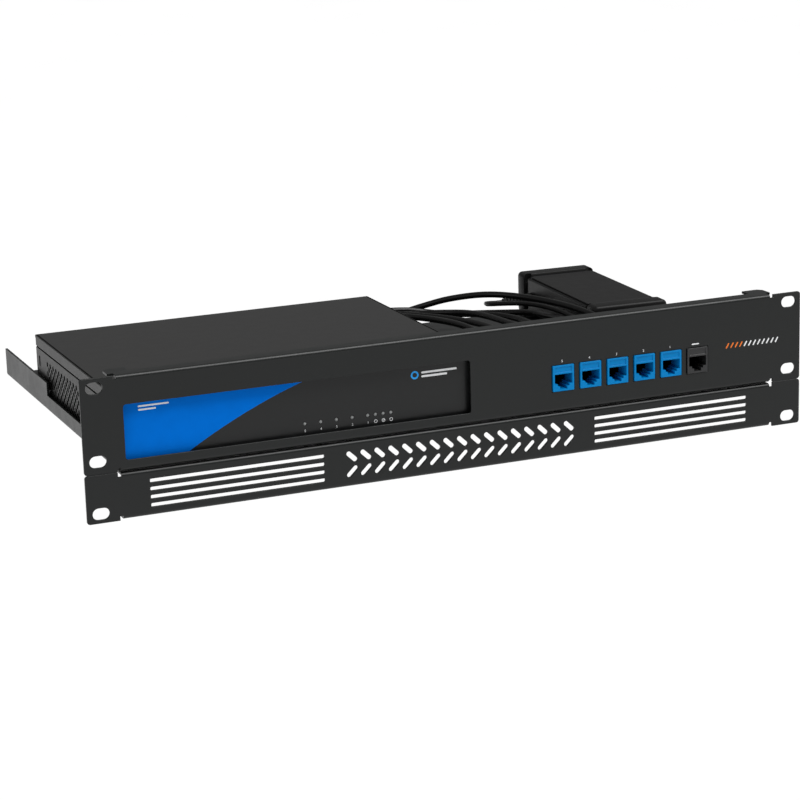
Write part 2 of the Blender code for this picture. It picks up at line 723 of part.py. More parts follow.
def adapter_sleeve(look):
    """The open sleeve between the caps, with the hole for the strain relief in its left wall."""
    low, high = CAP_LONG + GAP, ADAPTER_LONG - CAP_LONG - GAP
    sleeve = prism("adapter_sleeve", sleeve_outline(0, 2.4), low, high, "Y", look)
    hollow = prism("hollow", sleeve_outline(-ADAPTER_WALL, 1.5), low - 1, high + 1, "Y")
    cut(sleeve, [hollow])
    return cut(sleeve, [turned("hole", [(-3, 3.3), (3, 3.3)], (0, RELIEF_AT, RELIEF_Z), "X", 12)])


def adapter():
    look = dark_plastic()
    frame = adapter_empty()
    front = adapter_cap("adapter_front_cap", 0.0, CAP_LONG, -1, look)
    rear = adapter_cap("adapter_rear_cap", ADAPTER_LONG - CAP_LONG, ADAPTER_LONG, 1, look)
    half = INLET_HALF + GAP
    hole_x = (ADAPTER_WIDE / 2 - half, ADAPTER_WIDE / 2 + half)
    hole_z = (INLET_Z[0] - GAP, INLET_Z[1] + GAP)
    cut(rear, [box("hole", hole_x, (ADAPTER_LONG - CAP_LONG - 1, ADAPTER_LONG + 1), hole_z)])
    pad_y = (22.0, ADAPTER_LONG - 22)
    pad = box("adapter_pad", (6.0, ADAPTER_WIDE - 6), pad_y, (FLOOR_TOP + GAP, ADAPTER_Z[0] - GAP), rubber())
    relief = turned("dc_relief", relief_profile(), (0, RELIEF_AT, RELIEF_Z), "X", 10, rubber())
    for piece in (adapter_sleeve(look), front, rear, adapter_inlet(look), adapter_inside(), pad, relief):
        piece.parent = frame


def relief_profile():
    """A ribbed strain relief that narrows from the sleeve's wall to the lead, along -X."""
    inside = ADAPTER_WALL + GAP
    profile = [(3.0, 4.4), (inside, 4.4), (inside, 3.0), (-GAP, 3.0), (-GAP, 4.6), (-3.0, 4.6)]
    ribs = 5
    pitch = (RELIEF_LONG - 4.0) / ribs
    for k in range(ribs):
        start = -3.0 - k * pitch
        radius = 4.0 - 0.28 * k
        profile += [(start, radius - 1.1), (start - pitch * 0.4, radius - 1.1)]
        profile += [(start - pitch * 0.4, radius), (start - pitch, radius)]
    profile += [(-RELIEF_LONG, 2.3)]
    return profile


def adapter_point(x, y, z):
    """A point in the adapter's frame, as a point of the whole object."""
    turned_point = Matrix.Rotation(ADAPTER_TURN, 3, "Z") @ Vector((x, y, z))
    return (turned_point.x + ADAPTER_AT[0], turned_point.y + ADAPTER_AT[1], z)


# ---------------------------------------------------------------- leads


# Route points between the coupler plug and the device plug
LEAD_ROUTES = {
    "5": [(69.5, 100, 53.5), (67, 140, 56.3), (59, 175, 55.3), (44, 202, 54), (24, 221, 52), (-2, 229, 49)],
    "4": [(88, 110, 52), (86, 150, 53), (79, 184, 51.2), (62, 212, 50.5), (38, 229, 51), (8, 235, 50),
          (-18, 235, 49)],
    "3": [(106, 110, 52.5), (103, 154, 52.8), (97, 192, 51.8), (84, 219, 48.8), (60, 235, 47), (28, 241, 47),
          (-6, 241, 47.5), (-34, 241, 48.5)],
    "2": [(127, 110, 49.5), (126, 150, 48), (125, 188, 46.5), (116, 215, 44.6), (98, 231.5, 43.6), (68, 240.6, 43.6),
          (28, 246.6, 44.2), (-16, 247.6, 44.8), (-50, 246.6, 47.2)],
    "1": [(146.5, 105, 50), (147.5, 150, 49.5), (149, 184, 46.5), (146, 209, 44), (131, 229.5, 41.5),
          (105, 243.5, 41), (88, 248.5, 42.6), (72, 251, 45.6), (52, 252.5, 47), (20, 253.2, 47.6),
          (-10, 253.4, 48), (-62, 251.2, 48.4)],
    "console": [(163, 90, 53), (153.5, 122, 58.5), (146, 148, 60.8), (132, 182, 61.6), (114, 210, 60.4),
                (97, 236.5, 54.2), (81, 255, 46.4), (58, 261, 40.4), (14, 262, 37.5), (-36, 262, 39.5),
                (-72, 260.5, 44.5), (-91, 256, 47.6)],
}

DC_ROUTE = [
    (35, 197.5, 45), (39, 193, 40), (37, 183, 35.5), (34.5, 160, FLOOR_LINE), (34, 120, FLOOR_LINE),
    (36, 86, FLOOR_LINE), (45, 74, FLOOR_LINE), (53, 86, FLOOR_LINE), (54, 120, FLOOR_LINE),
    (55, 165, FLOOR_LINE), (65, 180, FLOOR_LINE), (75, 166, FLOOR_LINE), (75, 125, FLOOR_LINE),
    (76, 84, FLOOR_LINE), (86, 71, FLOOR_LINE), (96, 84, FLOOR_LINE), (96, 125, FLOOR_LINE),
    (97, 168, FLOOR_LINE), (107, 183, FLOOR_LINE), (117, 169, FLOOR_LINE), (116, 125, FLOOR_LINE),
    (117, 88, FLOOR_LINE), (127, 73, FLOOR_LINE), (139, 79, 36), (148, 100, 42.5), (152.5, 124, 50),
    (153.5, 148, 51), (150.5, 170, 52.4), (144, 190, 53.2), (137, 206, 52.2), (128.5, 219, 50.4), (123.8, 229.5, 48.6),
    (126, 237.5, 47.3),
]


def smooth_line(points, spacing):
    """Evenly spaced points on a smooth curve through the route's own points."""
    knots = [Vector(p) for p in points]
    ends = [2 * knots[0] - knots[1]] + knots + [2 * knots[-1] - knots[-2]]
    dense = []
    for k in range(1, len(ends) - 2):
        before, start, end, after = ends[k - 1 : k + 3]
        for step in range(24):
            t = step / 24
            point = 2 * start + (end - before) * t
            point += (2 * before - 5 * start + 4 * end - after) * t**2
            point += (3 * start - before - 3 * end + after) * t**3
            dense.append(point / 2)
    dense.append(knots[-1])
    travelled = [0.0]
    for k in range(1, len(dense)):
        travelled.append(travelled[-1] + (dense[k] - dense[k - 1]).length)
    count = max(2, round(travelled[-1] / spacing))
    line = []
    k = 0
    for step in range(count + 1):
        want = travelled[-1] * step / count
        while k < len(travelled) - 2 and travelled[k + 1] < want:
            k += 1
        span = travelled[k + 1] - travelled[k]
        line.append(dense[k].lerp(dense[k + 1], (want - travelled[k]) / span))
    return line


def tube(name, line, radius, sides):
    """A round cord along a line, as a curve with filled ends."""
    curve = bpy.data.curves.new(name, "CURVE")
    curve.dimensions = "3D"
    curve.bevel_depth = radius * MM
    curve.bevel_resolution = sides
    curve.use_fill_caps = True
    spline = curve.splines.new("POLY")
    spline.points.add(len(line) - 1)
    for point, place_at in zip(spline.points, line):
        point.co = (*(place_at * MM), 1.0)
    curve.materials.append(jacket())
    made = bpy.data.objects.new(name, curve)
    bpy.context.scene.collection.objects.link(made)
    return made


def lead_points(name):
    """A patch lead's whole route, straight out of both plugs."""
    index = COUPLER_NAMES.index(name)
    x0 = COUPLER_X[index]
    x1 = DEVICE_PORT_X[index]
    start = [(x0, LEAD_START_Y, SOCKET_Z), (x0, LEAD_START_Y + 10, SOCKET_Z)]
    turn_in = (x1 + 3.0, LEAD_END_Y + 14 + index * 4.6, PORT_Z)
    end = [turn_in, (x1, LEAD_END_Y + 6, PORT_Z), (x1, LEAD_END_Y, PORT_Z)]
    return start + LEAD_ROUTES[name] + end


def leads():
    for index, name in enumerate(COUPLER_NAMES):
        plug("coupler_plug_" + name, COUPLER_X[index], SOCKET_Z, COUPLER_BACK, dark_plastic())
        plug("device_plug_" + name, DEVICE_PORT_X[index], PORT_Z, JACK_FACE, dark_plastic())
        tube("patch_lead_" + name, smooth_line(lead_points(name), 13.0), LEAD_R, 2)


def dc_plug():
    """A right-angled barrel plug: the barrel goes into the jack, and the lead leaves to the right."""
    profile = [(JACK_FACE - 9.0, 2.75), (JACK_FACE + 2.0, 2.75)]
    barrel = turned("dc_plug", profile, (DC_X, 0, PORT_Z), "Y", 12, dark_plastic())
    body_y = (JACK_FACE + 0.6, JACK_FACE + 11.6)
    body = box("body", (DC_X - 5.5, DC_X + 8.0), body_y, (PORT_Z - 5.2, PORT_Z + 5.2))
    tail = turned("tail", [(7.5, 4.2), (12.0, 3.8), (19.0, 2.6)], (DC_X, sum(body_y) / 2, PORT_Z), "X", 12)
    return union(barrel, [body, tail])


def dc_lead():
    start = [(DC_X + 19.0 + along, JACK_FACE + 6.1, PORT_Z) for along in (2 * GAP, 5.0)]
    end = [adapter_point(-RELIEF_LONG - along, RELIEF_AT, RELIEF_Z) for along in (6.0, 2 * GAP)]
    tube("dc_lead", smooth_line(start + DC_ROUTE + end, 12.4), DC_R, 2)


def build():
    clear_scene()
    rack_tray()
    lower_vent_panel()
    for name, x in zip(COUPLER_NAMES, COUPLER_X):
        coupler("coupler_" + name, x, dark_plastic() if name == "console" else blue_plastic())
    device_base()
    device_lid()
    device_faceplate()
    light_pipe()
    rear_panel()
    jacks()
    buttons()
    circuit_board()
    heat_sink()
    feet()
    screws()
    brackets()
    adapter()
    leads()
    dc_plug()
    dc_lead()


build()
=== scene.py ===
"""Finished surfaces for a desktop firewall carried in a 19-inch rack tray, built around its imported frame.

Frame: +X to the right and +Y to the rear as seen from the front, +Z up, origin on the rack rails' plane.
Shapes are written in millimetres and turned into metres by MM. The camera and the floor are in metres.
"""

from math import cos, pi, radians, sin

import bmesh
import bpy
from mathutils import Matrix, Vector

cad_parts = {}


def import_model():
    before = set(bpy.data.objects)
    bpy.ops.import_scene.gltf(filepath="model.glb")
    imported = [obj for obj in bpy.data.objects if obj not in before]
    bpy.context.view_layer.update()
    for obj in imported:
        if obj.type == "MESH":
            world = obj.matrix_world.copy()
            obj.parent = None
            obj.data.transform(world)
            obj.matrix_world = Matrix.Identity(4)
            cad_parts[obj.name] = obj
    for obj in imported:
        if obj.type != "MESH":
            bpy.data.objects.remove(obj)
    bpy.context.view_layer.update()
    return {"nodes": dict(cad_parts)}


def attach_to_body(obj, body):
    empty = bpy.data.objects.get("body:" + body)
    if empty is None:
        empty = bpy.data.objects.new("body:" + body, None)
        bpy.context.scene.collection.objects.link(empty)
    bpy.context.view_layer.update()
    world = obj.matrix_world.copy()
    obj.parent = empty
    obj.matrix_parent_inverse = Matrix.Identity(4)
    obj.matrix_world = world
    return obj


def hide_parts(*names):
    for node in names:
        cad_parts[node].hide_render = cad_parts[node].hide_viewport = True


MM = 0.001
BODY = "chassis"

# Camera, surround and floor, with places in metres
CAMERA_AT = (-0.60145, -1.37654, 0.43852)
CAMERA_YAW = radians(22.174)
CAMERA_PITCH = radians(14.611)
CAMERA_ROLL = radians(-1.7)
CAMERA_LENS = 113.03
SURROUND = 0.24
FLOOR_Z = -0.7
FLOOR_HALF = 30.0

# Rack front
RACK_HALF = 241.3
SLOT_X = 232.55
SLOT_LONG = 10.5
SLOT_TALL = 7.2
SHEET = 1.5
FRONT = -SHEET
PANEL_CUT = (FRONT - 3, 3)
BEND = 2.2
FLANGE_HALF = 219.0
NOTCH_HALF = 221.1
CORNER = 1.8
GAP = 0.3
EDGE = 0.15
SCREW_HOLE_R = 2.2

# Upper panel and tray
TRAY_Z0 = 30.5
TRAY_Z1 = 88.6
TRAY_SLOTS = (38.1, 82.55)
FLANGE_BACK = 8.5
FLOOR_FRONT = 12.0
TAB_IN = 208.5
TAB_OUT = 222.5
TAB_BACK = 17.0
TAB_CROPPED = 3.0
WALL_OUT = 221.2
WALL_LOW = 41.0
WALL_HIGH = 49.5
WALL_STEP_Y = 156.0
WALL_CUT_X = (215.0, 225.0)
TROUGH_FRONT = 1.0
TRAY_BACK = 264.0
FLOOR_TOP = TRAY_Z0 + SHEET
SIDE_SCREW_AT = (24.0, 110.0)
REAR_SCREW_AT = (-187.0, 202.0)
BRACKET_HIGH = 58.0

# Lower filler panel
LOWER_EAR_Z = (0.6, 30.2)
LOWER_Z = (1.1, 29.5)
LOWER_BACK = 8.0
LOWER_SLOT_Z = 6.35
VENT_IN = 91.6
VENT_OUT = 201.8
VENT_TALL = 2.3
VENT_CORNER = 0.7
VENT_PITCH = 5.0
VENT_ROWS = 4
VENT_FIRST_Z = 7.45
CHEVRON_COUNT = 17
CHEVRON_PITCH = 9.2
CHEVRON_LEAN = 4.2
CHEVRON_WIDTH = 3.0
CHEVRON_LEVELS = ((7.0, 14.0), (16.4, 23.4))

# Device box
WINDOW_X = (-215.7, 6.4)
WINDOW_Z = (37.0, 70.7)
WINDOW_CORNER = 1.8
BOX_X = (-217.5, 16.5)
BOX_Z = (34.2, 73.3)
SEAM_Z = 66.5
PLATE_Y = (3.0, 5.5)
BOX_Y = (5.8, 192.2)
CASE_SHEET = 1.0
LIP_Y = (192.1, 193.1)
LIP_LOW = 61.0
LID_SCREW_X = (-195.0, 8.0)
LID_SCREW_Z = 65.0
LID_HOLE_R = 1.7
LID_RIM = 0.6
LID_CHAMFER = 0.35
LID_GROOVE = 1.0
JACK_FACE = 192.6
PORT_Z = 48.6
LAN_X = (-20.0, -36.0, -52.0, -68.0, -84.0)
CONSOLE_X = -106.0
DC_X = 3.0
POWER_X = -166.0
RESET_X = -150.0
USB_X = -132.0
USB_LEVELS = (43.6, 50.8)
LED_Z = 43.15
LED_X = (-101.7, -91.4, -81.2, -70.9, -60.7, -55.6, -50.5, -45.4)
HOLE_ROWS = 8
HOLE_COLUMNS = 20
HOLE_PITCH_Y = 6.9
HOLE_PITCH_Z = 3.0
HOLE_REAR_Y = 165.0
HOLE_TOP_Z = 59.1
HOLE_R = 1.75
VENT_SHEET = 0.4
SEAM_GAP = 1.0
POST_X = (-205.0, 4.0)
POST_Y = (36.0, 168.0)
POST_R = 3.0
POST_TOP = 39.7
LOCK_Y = (183.0, 186.0)
LOCK_Z = (54.0, 61.0)
LED_HOLE_R = 1.1
LED_DIGIT_Z = 38.7
LED_RING_Z = 38.9

# Keystone couplers
COUPLER_X = (69.8, 88.9, 108.0, 127.1, 146.2, 165.3)
COUPLER_NAMES = ("5", "4", "3", "2", "1", "console")
COUPLER_WIDE = 15.3
COUPLER_Z = (43.5, 60.1)
COUPLER_FRONT = -2.3
COUPLER_BACK = 33.0
COUPLER_SIDE = 0.3
COUPLER_REAR_HALF = 7.2
COUPLER_REAR_Z = (44.2, 58.6)
SOCKET_Z = 51.25
SOCKET_WIDE = 12.2
SOCKET_TALL = 6.4
SOCKET_DEEP = 14.0
SOCKET_STEPS = ((4.0, 1.5), (2.5, 3.3))
CONTACT_PITCH = 1.02
CONTACT_HALF = 0.18
CONTACT_WIRE = [(0.8, 54.2), (0.8, 54.4), (9.0, 51.4), (10.8, 51.2), (10.8, 50.9), (8.9, 51.1)]
LABEL_HALF = 5.8
LABEL_Z = (55.6, 59.0)
NUMBER_Z = 62.6
DASH_X = 187.5
DASH_Z = (57.2, 59.8)
DASH_PITCH = 3.3
DASH_COUNT = 12
DASH_ORANGE = 4

# Leads, plugs and power adapter
LEAD_R = 2.2
DC_R = 1.7
PLUG_OUT = 21.0
PLUG_RIBS = 4
ADAPTER_AT = (157.0, 125.0)
ADAPTER_TURN = radians(-2.6)
ADAPTER_WIDE = 53.0
ADAPTER_LONG = 137.0
ADAPTER_Z = (34.0, 61.6)
ADAPTER_WALL = 2.0
CAP_LONG = 17.0
CAP_PROUD = 1.2
NECK_LONG = 4.5
RECESS_R = 3.5
RECESS_DEEP = 5.0
SLEEVE_GROOVE = (1.2, 1.6)
INLET_HALF = 13.4
INLET_Z = (37.8, 57.8)
INLET_WALL = 1.8
RELIEF_AT = 113.0
RELIEF_LONG = 23.0
RELIEF_Z = 46.5
RELIEF_RIBS = 8
FLOOR_LINE = FLOOR_TOP + GAP + DC_R
LEAD_START_Y = COUPLER_BACK + PLUG_OUT + GAP
LEAD_END_Y = JACK_FACE + PLUG_OUT + GAP
DEVICE_PORT_X = (*LAN_X, CONSOLE_X)
LEAD_SPACING = 5.0

# Route points between the coupler plug and the device plug
LEAD_ROUTES = {
    "5": [(69.5, 100, 53.5), (67, 140, 56.3), (59, 175, 55.3), (44, 202, 54), (24, 221, 52), (-2, 229, 49)],
    "4": [(88, 110, 52), (86, 150, 53), (79, 184, 51.2), (62, 212, 50.5), (38, 229, 51), (8, 235, 50),
          (-18, 235, 49)],
    "3": [(106, 110, 52.5), (103, 154, 52.8), (97, 192, 51.8), (84, 219, 48.8), (60, 235, 47), (28, 241, 47),
          (-6, 241, 47.5), (-34, 241, 48.5)],
    "2": [(127, 110, 49.5), (126, 150, 48), (125, 188, 46.5), (116, 215, 44.6), (98, 231.5, 43.6),
          (68, 240.6, 43.6), (28, 246.6, 44.2), (-16, 247.6, 44.8), (-50, 246.6, 47.2)],
    "1": [(146.5, 105, 50), (147.5, 150, 49.5), (149, 184, 46.5), (146, 209, 44), (131, 229.5, 41.5),
          (105, 243.5, 41), (88, 248.5, 42.6), (72, 251, 45.6), (52, 252.5, 47), (20, 253.2, 47.6),
          (-10, 253.4, 48), (-62, 251.2, 48.4)],
    "console": [(163, 90, 53), (153.5, 122, 58.5), (146, 148, 60.8), (132, 182, 61.6), (114, 210, 60.4),
                (97, 236.5, 54.2), (81, 255, 46.4), (58, 261, 40.4), (14, 262, 37.5), (-36, 262, 39.5),
                (-72, 260.5, 44.5), (-91, 256, 47.6)],
}

# The direct-current lead: down to the tray floor, in three folds along it, and up to the adapter
DC_DOWN = [(35, 197.5, 45), (39, 193, 40), (37, 183, 35.5)]
DC_FOLDS = [(34.5, 160), (34, 120), (36, 86), (45, 74), (53, 86), (54, 120), (55, 165), (65, 180), (75, 166),
            (75, 125), (76, 84), (86, 71), (96, 84), (96, 125), (97, 168), (107, 183), (117, 169), (116, 125),
            (117, 88), (127, 73)]
DC_UP = [(139, 79, 36), (148, 100, 42.5), (152.5, 124, 50), (153.5, 148, 51), (150.5, 170, 52.4),
         (144, 190, 53.2), (137, 206, 52.2), (128.5, 219, 50.4), (123.8, 229.5, 48.6), (126, 237.5, 47.3)]
DC_ROUTE = DC_DOWN + [(x, y, FLOOR_LINE) for x, y in DC_FOLDS] + DC_UP


# ---- materials


def fill(node, values):
    """Sets a node's own input values."""
    for socket, value in values.items():
        node.inputs[socket].default_value = value


def noise(tree, source, size_mm, detail=3.0, stretch=(1, 1, 1)):
    """Noise whose features are about size_mm wide, stretched along an axis by a number below 1."""
    mapping = tree.nodes.new("ShaderNodeMapping")
    fill(mapping, {"Scale": [value * 1000 / size_mm for value in stretch]})
    tree.links.new(source.outputs["Object"], mapping.inputs["Vector"])
    made = tree.nodes.new("ShaderNodeTexNoise")
    fill(made, {"Scale": 1.0, "Detail": detail})
    tree.links.new(mapping.outputs["Vector"], made.inputs["Vector"])
    return made.outputs["Fac"]


def spread(tree, value, low, high):
    """A noise value stretched from its usual middle range to low and high."""
    made = tree.nodes.new("ShaderNodeMapRange")
    fill(made, {"From Min": 0.3, "From Max": 0.7, "To Min": low, "To Max": high})
    tree.links.new(value, made.inputs["Value"])
    return made.outputs["Result"]


def shade(color, factor):
    """A colour made darker or lighter by a factor, with alpha."""
    return (*[min(1.0, channel * factor) for channel in color], 1.0)


def surface(name, color, roughness, grain=0.5, bump=0.2, metallic=0.0, specular=0.5, patch=9.0,
            vary=0.12, stretch=(1, 1, 1), rough_vary=0.06, **sockets):
    """A finish with fine relief and uneven tone and gloss. Grain and patch are feature sizes in mm."""
    made = bpy.data.materials.new(name)
    made.use_nodes = True
    tree = made.node_tree
    shader = tree.nodes["Principled BSDF"]
    fill(shader, {"Metallic": metallic, "Specular IOR Level": specular})
    fill(shader, {socket.replace("_", " "): value for socket, value in sockets.items()})
    where = tree.nodes.new("ShaderNodeTexCoord")
    fine = noise(tree, where, grain, 2.0, stretch)
    broad = noise(tree, where, patch, 4.0, stretch)
    tone = tree.nodes.new("ShaderNodeMix")
    tone.data_type = "RGBA"
    fill(tone, {"A": shade(color, 1 - vary), "B": shade(color, 1 + vary)})
    tree.links.new(spread(tree, broad, 0, 1), tone.inputs["Factor"])
    tree.links.new(tone.outputs["Result"], shader.inputs["Base Color"])
    gloss = spread(tree, broad, roughness - rough_vary, roughness + rough_vary)
    tree.links.new(gloss, shader.inputs["Roughness"])
    relief = tree.nodes.new("ShaderNodeBump")
    fill(relief, {"Strength": bump, "Distance": grain * 0.2 * MM})
    tree.links.new(fine, relief.inputs["Height"])
    tree.links.new(relief.outputs["Normal"], shader.inputs["Normal"])
    return made


def make_looks():
    """Every finish on the object, by a plain name."""
    ink = {"specular": 0.2, "vary": 0.04}
    # Each by its full name, colour, roughness, grain and bump, and then whatever else it needs
    return {
        "panel": surface("satin_black_powder_coat", (0.0036, 0.0047, 0.0045), 0.4, 0.7, 0.25, specular=0.37,
                         rough_vary=0.03),
        "case": surface("fine_texture_case_coat", (0.0155, 0.0155, 0.0151), 0.46, specular=0.41, vary=0.06,
                        rough_vary=0.02),
        "film": surface("black_front_film", (0.0105, 0.011, 0.0112), 0.34, 1.4, 0.08, specular=0.3),
        "blue_film": surface("blue_front_film", (0.0, 0.152, 0.65), 0.4, 1.4, 0.08, specular=0.02, vary=0.03),
        "white_ink": surface("white_ink", (0.86, 0.87, 0.88), 0.5, 0.3, 0.1, **ink),
        "orange_ink": surface("orange_ink", (0.85, 0.2, 0.03), 0.5, 0.3, 0.1, **ink),
        "sky_ink": surface("sky_blue_ink", (0.03, 0.38, 0.95), 0.5, 0.3, 0.1, **ink),
        "lens": surface("frosted_lens", (0.34, 0.35, 0.35), 0.4, 0.4, 0.15, vary=0.05,
                        Transmission_Weight=0.25),
        "blue": surface("blue_moulded_plastic", (0.0, 0.205, 0.53), 0.38, 0.6, 0.15, specular=0.1, vary=0.06),
        "black": surface("black_moulded_plastic", (0.014, 0.014, 0.015), 0.42, 0.6, 0.3),
        "boot": surface("soft_black_boot", (0.012, 0.012, 0.013), 0.55, 0.5, 0.25),
        "jacket": surface("extruded_lead_jacket", (0.003, 0.003, 0.003), 0.34, 0.9, 0.18, specular=0.3),
        "rubber": surface("black_rubber", (0.013, 0.013, 0.013), 0.8, 0.8, 0.5, specular=0.3),
        "adapter": surface("spark_textured_plastic", (0.0068, 0.0068, 0.0068), 0.46, 0.6, 0.25, specular=0.18,
                           vary=0.05, rough_vary=0.02),
        "steel": surface("rolled_shield_steel", (0.56, 0.56, 0.54), 0.32, 0.3, 0.1, metallic=1.0, patch=3.0,
                         stretch=(0.08, 1, 1)),
        "zinc": surface("zinc_plated_steel", (0.6, 0.59, 0.56), 0.3, 0.4, 0.15, metallic=1.0, patch=1.5),
        "gold": surface("plated_contacts", (0.9, 0.62, 0.24), 0.25, 0.3, 0.05, metallic=1.0, patch=2.0),
        "anodised": surface("anodised_aluminium", (0.16, 0.17, 0.18), 0.42, 0.4, 0.15, metallic=1.0,
                            stretch=(1, 0.05, 1)),
        "board": surface("green_solder_mask", (0.012, 0.09, 0.035), 0.35, 1.6, 0.5, patch=2.5, vary=0.4,
                         stretch=(1, 0.25, 1)),
        "tan_board": surface("tan_laminate", (0.3, 0.19, 0.08), 0.55, 0.8, 0.3, patch=2.0, vary=0.25),
    }


# ---- shape helpers


def linked(name, data):
    """A new object in the scene."""
    made = bpy.data.objects.new(name, data)
    bpy.context.scene.collection.objects.link(made)
    return made


def coat(mesh, look):
    """One look over the whole mesh."""
    mesh.materials.clear()
    mesh.materials.append(look)


def add(name, mesh, look=None):
    if look:
        coat(mesh, look)
    return linked(name, mesh)


def mesh_from(points, faces):
    """A closed mesh from points in millimetres, with its faces turned outwards."""
    mesh = bpy.data.meshes.new("solid")
    mesh.from_pydata([[value * MM for value in point] for point in points], [], faces)
    work = bmesh.new()
    work.from_mesh(mesh)
    bmesh.ops.recalc_face_normals(work, faces=work.faces)
    work.to_mesh(mesh)
    work.free()
    return mesh


def place(axis, u, v, w):
    """A point from its two outline coordinates and its distance along the axis."""
    if axis == "X":
        return (w, u, v)
    if axis == "Y":
        return (u, w, v)
    return (u, v, w)


def prism(name, outline, low, high, axis="Y", look=None):
    """An outline, without holes, swept along an axis from low to high."""
    count = len(outline)
    points = [place(axis, u, v, low) for u, v in outline]
    points += [place(axis, u, v, high) for u, v in outline]
    faces = [tuple(range(count)), tuple(range(2 * count - 1, count - 1, -1))]
    faces += [(k, (k + 1) % count, count + (k + 1) % count, count + k) for k in range(count)]
    return add(name, mesh_from(points, faces), look)


def around(middle, half):
    """The (low, high) pair about a middle."""
    return (middle - half, middle + half)


def rect(u, v):
    """A rectangle's outline; u and v are its (low, high) pairs."""
    return [(u[0], v[0]), (u[1], v[0]), (u[1], v[1]), (u[0], v[1])]


def box(name, x, y, z, look=None):
    return prism(name, rect(x, z), *y, "Y", look)


def arc(u, v, r, start, end, steps):
    """Points on an arc about (u, v), with its angles in degrees."""
    turn = [radians(start + (end - start) * k / steps) for k in range(steps + 1)]
    return [(u + r * cos(t), v + r * sin(t)) for t in turn]


def round_rect(u, v, r, steps=6):
    """A rectangle's outline with round corners; u and v are its (low, high) pairs."""
    return (
        arc(u[1] - r, v[1] - r, r, 0, 90, steps)
        + arc(u[0] + r, v[1] - r, r, 90, 180, steps)
        + arc(u[0] + r, v[0] + r, r, 180, 270, steps)
        + arc(u[1] - r, v[0] + r, r, 270, 360, steps)
    )


def capsule(start, end, wide, steps=8):
    """An outline with half-round ends about a straight line from start to end."""
    run = Vector(end) - Vector(start)
    lean = Vector((1, 0)).angle_signed(run) * -180 / pi
    r = wide / 2
    return arc(*end, r, lean - 90, lean + 90, steps) + arc(*start, r, lean + 90, lean + 270, steps)


def loft(name, sections, look=None):
    """A solid through rings of equal point counts, closed by a face at each end."""
    count = len(sections[0])
    points = [point for ring in sections for point in ring]
    faces = [tuple(range(count)), tuple(range(len(points) - count, len(points)))]
    for ring in range(len(sections) - 1):
        base = ring * count
        for k in range(count):
            step = (k + 1) % count
            faces.append((base + k, base + step, base + count + step, base + count + k))
    return add(name, mesh_from(points, faces), look)


def turned(name, profile, centre, axis="Y", steps=32, look=None):
    """A solid turned about an axis through centre; profile lists (distance along it, radius)."""
    rings = []
    for along, radius in profile:
        ring = arc(0, 0, radius, 0, 360 * (steps - 1) / steps, steps - 1)
        rings.append([tuple(Vector(place(axis, u, v, along)) + Vector(centre)) for u, v in ring])
    return loft(name, rings, look)


def rod(name, low, high, radius, centre, axis="Y", steps=32):
    """A round rod from low to high along an axis, for a post or a hole."""
    return turned(name, [(low, radius), (high, radius)], centre, axis, steps)


def boolean(target, tools, operation):
    """Joins the tools to the target, or cuts them from it, and removes them."""
    for tool in tools:
        change = target.modifiers.new("change", "BOOLEAN")
        change.operation = operation
        change.solver = "EXACT"
        change.object = tool
    bpy.context.view_layer.update()
    shape = bpy.data.meshes.new_from_object(target.evaluated_get(bpy.context.evaluated_depsgraph_get()))
    look = target.data.materials[0] if target.data.materials else None
    target.modifiers.clear()
    target.data = shape
    if look:
        coat(shape, look)
    for tool in tools:
        bpy.data.objects.remove(tool, do_unlink=True)
    return target


def gathered(name, pieces, look=None):
    """Separate closed shapes kept in one object."""
    mesh = bpy.data.meshes.new(name)
    work = bmesh.new()
    for piece in pieces:
        work.from_mesh(piece.data)
        bpy.data.objects.remove(piece, do_unlink=True)
    work.to_mesh(mesh)
    work.free()
    return add(name, mesh, look)


def union(target, tools):
    return boolean(target, tools, "UNION")


def cut(target, cutters):
    return boolean(target, [gathered("cutters", cutters)], "DIFFERENCE")


def smooth(item, angle=35):
    item.data.shade_smooth()
    item.data.set_sharp_from_angle(angle=radians(angle))
    return item


def eased(item, width=EDGE, segments=2, angle=40):
    """Breaks the sharp edges with a small bevel and shades the faces evenly."""
    smooth(item, angle)
    bevel = item.modifiers.new("eased_edges", "BEVEL")
    bevel.width = width * MM
    bevel.segments = segments
    bevel.limit_method = "ANGLE"
    bevel.angle_limit = radians(angle)
    bevel.use_clamp_overlap = False
    normals = item.modifiers.new("even_shading", "WEIGHTED_NORMAL")
    normals.keep_sharp = True
    return item


def stand_in(item, node, body=BODY):
    """The piece is shown instead of its CAD node, and moves with the same body."""
    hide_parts(node)
    return attach(item, body)


def attach(item, body=BODY):
    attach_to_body(item, body)
    return item


# ---- rack sheet metal


def sheet_section(z0, z1, back_low, back_high):
    """The side view of a front panel whose top and bottom are bent back, as (y, z) points."""
    inner = BEND - SHEET
    outside = [(back_high, z1)] + arc(FRONT + BEND, z1 - BEND, BEND, 90, 180, 10)
    outside += arc(FRONT + BEND, z0 + BEND, BEND, 180, 270, 10) + [(back_low, z0)]
    inside = [(back_low, z0 + SHEET)] + arc(FRONT + BEND, z0 + BEND, inner, 270, 180, 6)
    inside += arc(FRONT + BEND, z1 - BEND, inner, 180, 90, 6) + [(back_high, z1 - SHEET)]
    return outside + inside


def channel(x, low, high, r, t, steps):
    """The front view of a U of sheet metal with round lower corners, as (x, z) points."""
    x0, x1 = x
    outer = arc(x0 + r, low + r, r, 180, 270, steps) + arc(x1 - r, low + r, r, 270, 360, steps)
    inner = arc(x1 - r, low + r, r - t, 360, 270, 5) + arc(x0 + r, low + r, r - t, 270, 180, 5)
    return [(x0, high)] + outer + [(x1, high), (x1 - t, high)] + inner + [(x0 + t, high)]


